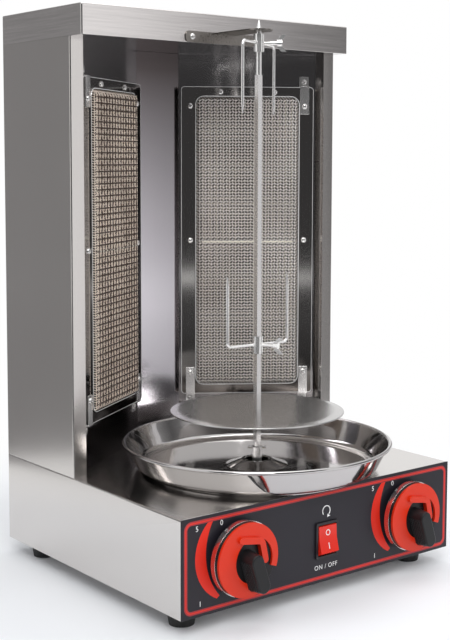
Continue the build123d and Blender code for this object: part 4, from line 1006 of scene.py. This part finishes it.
def make_grip_ribs():
    tree = make_rib_tree()
    turn = Matrix.Rotation(math.radians(GRIP_ANGLE), 4, "Z")
    for side, word in ((-1, "left"), (1, "right")):
        for flank in (-1, 1):
            made = grown(
                f"grip_ribs_{word}_{'a' if flank < 0 else 'b'}", tree, MATERIALS["knob_black"],
                Count=GRIP_RIBS, Length=GRIP_RIB_LENGTH, Radius=GRIP_RIB_RADIUS,
                Step=(0, -flank * math.tan(GRIP_DRAFT) * GRIP_RIB_STEP, GRIP_RIB_STEP),
            )
            aside = flank * (GRIP_HALF_WIDTH - GRIP_RIB_SINK)
            start = Matrix.Translation((GRIP_RIB_START, aside, GRIP_RIB_FOOT))
            made.data.transform(print_matrix(side * KNOB_X, KNOB_Z) @ turn @ start)
            carried(made, f"{word}_knob")


# ---------------------------------------------------------------- stage
FLOOR_SIZE = 8.0
FLOOR_FADE = (0.34, 0.66)
FLOOR_COLOUR = (0.90, 0.91, 0.93, 1)
FILL_COLOUR = (0.95, 0.97, 1.0, 1)
FILL_STRENGTH = 0.55
WHITE = (1, 1, 1, 1)
STAGE_MIDDLE = (0, 0, 0.3)
CARD_GREEN = 0.985  # of a card's red and blue
# name, place, size, watts, and whether reflections see it
SOFTBOXES = (
    ("key_light", (-1.4, -1.6, 2.2), (1.4, 1.4), 34, True),
    ("top_light", (0.2, 0.1, 2.4), (1.6, 1.6), 18, True),
    ("right_light", (1.8, -1.4, 1.2), (0.9, 1.4), 18, False),
)
FRONT_RIGHT_SHADES = (
    (0.0, 1.0), (0.09, 0.96), (0.196, 0.55), (0.39, 0.2), (0.63, 0.12), (1.0, 0.3),
)
FLOOR_RIGHT_SHADES = ((0.0, 1.0), (0.25, 0.95), (0.44, 0.5), (0.6, 0.22), (1.0, 0.2))
# name, azimuth, distance, size, shades, and the height of a card that lies on the floor
CARDS = (
    ("card_back_left", -149.0, 3.0, (3.9, 2.7), ((0.0, 0.26),)),
    ("card_floor_left", -149.0, 1.8, (3.2, 2.3), ((0.0, 0.26),), 0.003),
    ("card_front_left", -52.0, 2.9, (2.7, 2.4), ((0.0, 0.05),)),
    ("card_front", -5.0, 2.9, (2.5, 2.4), ((0.0, 0.05),)),
    ("card_front_right", 50.0, 2.9, (2.3, 2.4), FRONT_RIGHT_SHADES),
    ("card_floor_right", 42.0, 1.75, (1.6, 2.2), FLOOR_RIGHT_SHADES, 0.005),
    ("card_right", 95.0, 3.0, (3.0, 2.4), ((0.0, 0.8), (1.0, 0.35))),
    ("card_floor_front", -34.0, 1.6, (2.6, 2.1), ((0.0, 0.06),), 0.004),
)


def make_floor():
    material = bpy.data.materials.new("studio_floor")
    material.use_nodes = True
    tree = material.node_tree
    tree.nodes.clear()
    place = node_of(tree, "ShaderNodeTexCoord")
    length = node_of(tree, "ShaderNodeVectorMath", operation="LENGTH")
    fade = node_of(tree, "ShaderNodeMapRange", interpolation_type="SMOOTHSTEP")
    fade.inputs["From Min"].default_value, fade.inputs["From Max"].default_value = FLOOR_FADE
    pale = node_of(tree, "ShaderNodeBsdfDiffuse", Color=FLOOR_COLOUR)
    bright = node_of(tree, "ShaderNodeEmission", Color=WHITE)
    mix = node_of(tree, "ShaderNodeMixShader")
    out = node_of(tree, "ShaderNodeOutputMaterial")
    tree.links.new(place.outputs["Object"], length.inputs[0])
    tree.links.new(length.outputs["Value"], fade.inputs["Value"])
    tree.links.new(fade.outputs["Result"], mix.inputs[0])
    tree.links.new(pale.outputs[0], mix.inputs[1])
    tree.links.new(bright.outputs[0], mix.inputs[2])
    tree.links.new(mix.outputs[0], out.inputs["Surface"])
    bpy.ops.mesh.primitive_plane_add(size=FLOOR_SIZE, location=(0, 0, 0))
    floor = bpy.context.object
    floor.name = "studio_floor"
    floor.data.materials.append(material)


def make_world():
    """White where the camera or a reflection looks, and a softer fill on the surfaces."""
    world = bpy.data.worlds.new("studio")
    scene.world = world
    world.use_nodes = True
    tree = world.node_tree
    tree.nodes.clear()
    path = node_of(tree, "ShaderNodeLightPath")
    seen = calc(tree, "MAXIMUM", path.outputs["Is Camera Ray"], path.outputs["Is Glossy Ray"])
    seen_all = calc(tree, "MAXIMUM", seen, path.outputs["Is Transmission Ray"])
    fill = node_of(tree, "ShaderNodeBackground", Color=FILL_COLOUR, Strength=FILL_STRENGTH)
    white = node_of(tree, "ShaderNodeBackground", Color=WHITE, Strength=1.0)
    mix = node_of(tree, "ShaderNodeMixShader")
    out = node_of(tree, "ShaderNodeOutputWorld")
    tree.links.new(seen_all, mix.inputs[0])
    tree.links.new(fill.outputs[0], mix.inputs[1])
    tree.links.new(white.outputs[0], mix.inputs[2])
    tree.links.new(mix.outputs[0], out.inputs["Surface"])


def add_softbox(name, place, size, power, mirrored):
    data = bpy.data.lights.new(name, "AREA")
    data.shape = "RECTANGLE"
    data.size, data.size_y = size
    data.energy = power
    lamp = bpy.data.objects.new(name, data)
    scene.collection.objects.link(lamp)
    lamp.location = place
    lamp.visible_glossy = mirrored
    direction = Vector(STAGE_MIDDLE) - lamp.location
    lamp.rotation_euler = direction.to_track_quat("-Z", "Y").to_euler()


def add_card(name, azimuth, distance, size, shades, height=None):
    """A grey studio card that only reflections see. Azimuth 0 is in front and 90 on the right.

    It stands on the floor, or lies at the height given. The shades are (place, shade) pairs
    over its width, from 0 at its left end to 1."""
    angle = math.radians(azimuth)
    lying = height is not None
    place = (distance * math.sin(angle), -distance * math.cos(angle))
    bpy.ops.mesh.primitive_plane_add(size=1, location=(*place, height if lying else size[1] / 2))
    card = bpy.context.object
    card.name = name
    card.scale = (*size, 1)
    card.rotation_euler = (0, 0, angle) if lying else (math.radians(90), 0, angle)
    material = bpy.data.materials.new(name)
    material.use_nodes = True
    tree = material.node_tree
    tree.nodes.clear()
    spot = node_of(tree, "ShaderNodeTexCoord")
    split = node_of(tree, "ShaderNodeSeparateXYZ")
    ramp = node_of(tree, "ShaderNodeValToRGB")
    glow = node_of(tree, "ShaderNodeEmission")
    out = node_of(tree, "ShaderNodeOutputMaterial")
    stops = ramp.color_ramp.elements
    while len(stops) < len(shades):
        stops.new(0.5)
    while len(stops) > len(shades):
        stops.remove(stops[-1])
    for stop, (position, shade) in zip(stops, shades):
        stop.position = position
        stop.color = (shade, shade * CARD_GREEN, shade, 1)
    tree.links.new(spot.outputs["Object"], split.inputs[0])
    tree.links.new(calc(tree, "ADD", split.outputs["X"], 0.5), ramp.inputs["Fac"])
    tree.links.new(ramp.outputs["Color"], glow.inputs["Color"])
    tree.links.new(glow.outputs[0], out.inputs["Surface"])
    card.data.materials.append(material)
    card.visible_camera = False
    card.visible_diffuse = False
    card.visible_shadow = False


def make_stage():
    make_floor()
    make_world()
    for lamp in SOFTBOXES:
        add_softbox(*lamp)
    for card in CARDS:
        add_card(*card)


# ---------------------------------------------------------------- build
EDGES = {
    "cap": 0.35 * MM,
    "tower_shell": 0.3 * MM,
    "base_shell": 0.3 * MM,
    "knob_ring_left": 0.5 * MM,
    "knob_ring_right": 0.5 * MM,
    "burner_clips": 0.3 * MM,
    "burner_frame_left": 0.35 * MM,
    "burner_frame_right": 0.35 * MM,
    "meat_disc": 0.3 * MM,
}
REMADE = ("burner_mesh_left", "burner_mesh_right", "burner_screws", "bracket_screws")
make_camera()
make_stage()
for node in frame["nodes"]:
    if node not in REMADE:
        material = OWN_FINISH.get(node, MATERIALS[SLOT_OF[node]])
        finished_copy(node, material, EDGES.get(node, PLAIN_EDGE))
make_cages()
make_screws()
make_panel_print()
make_rocker_marks()
make_grip_ribs()

scene.view_settings.view_transform = "Standard"
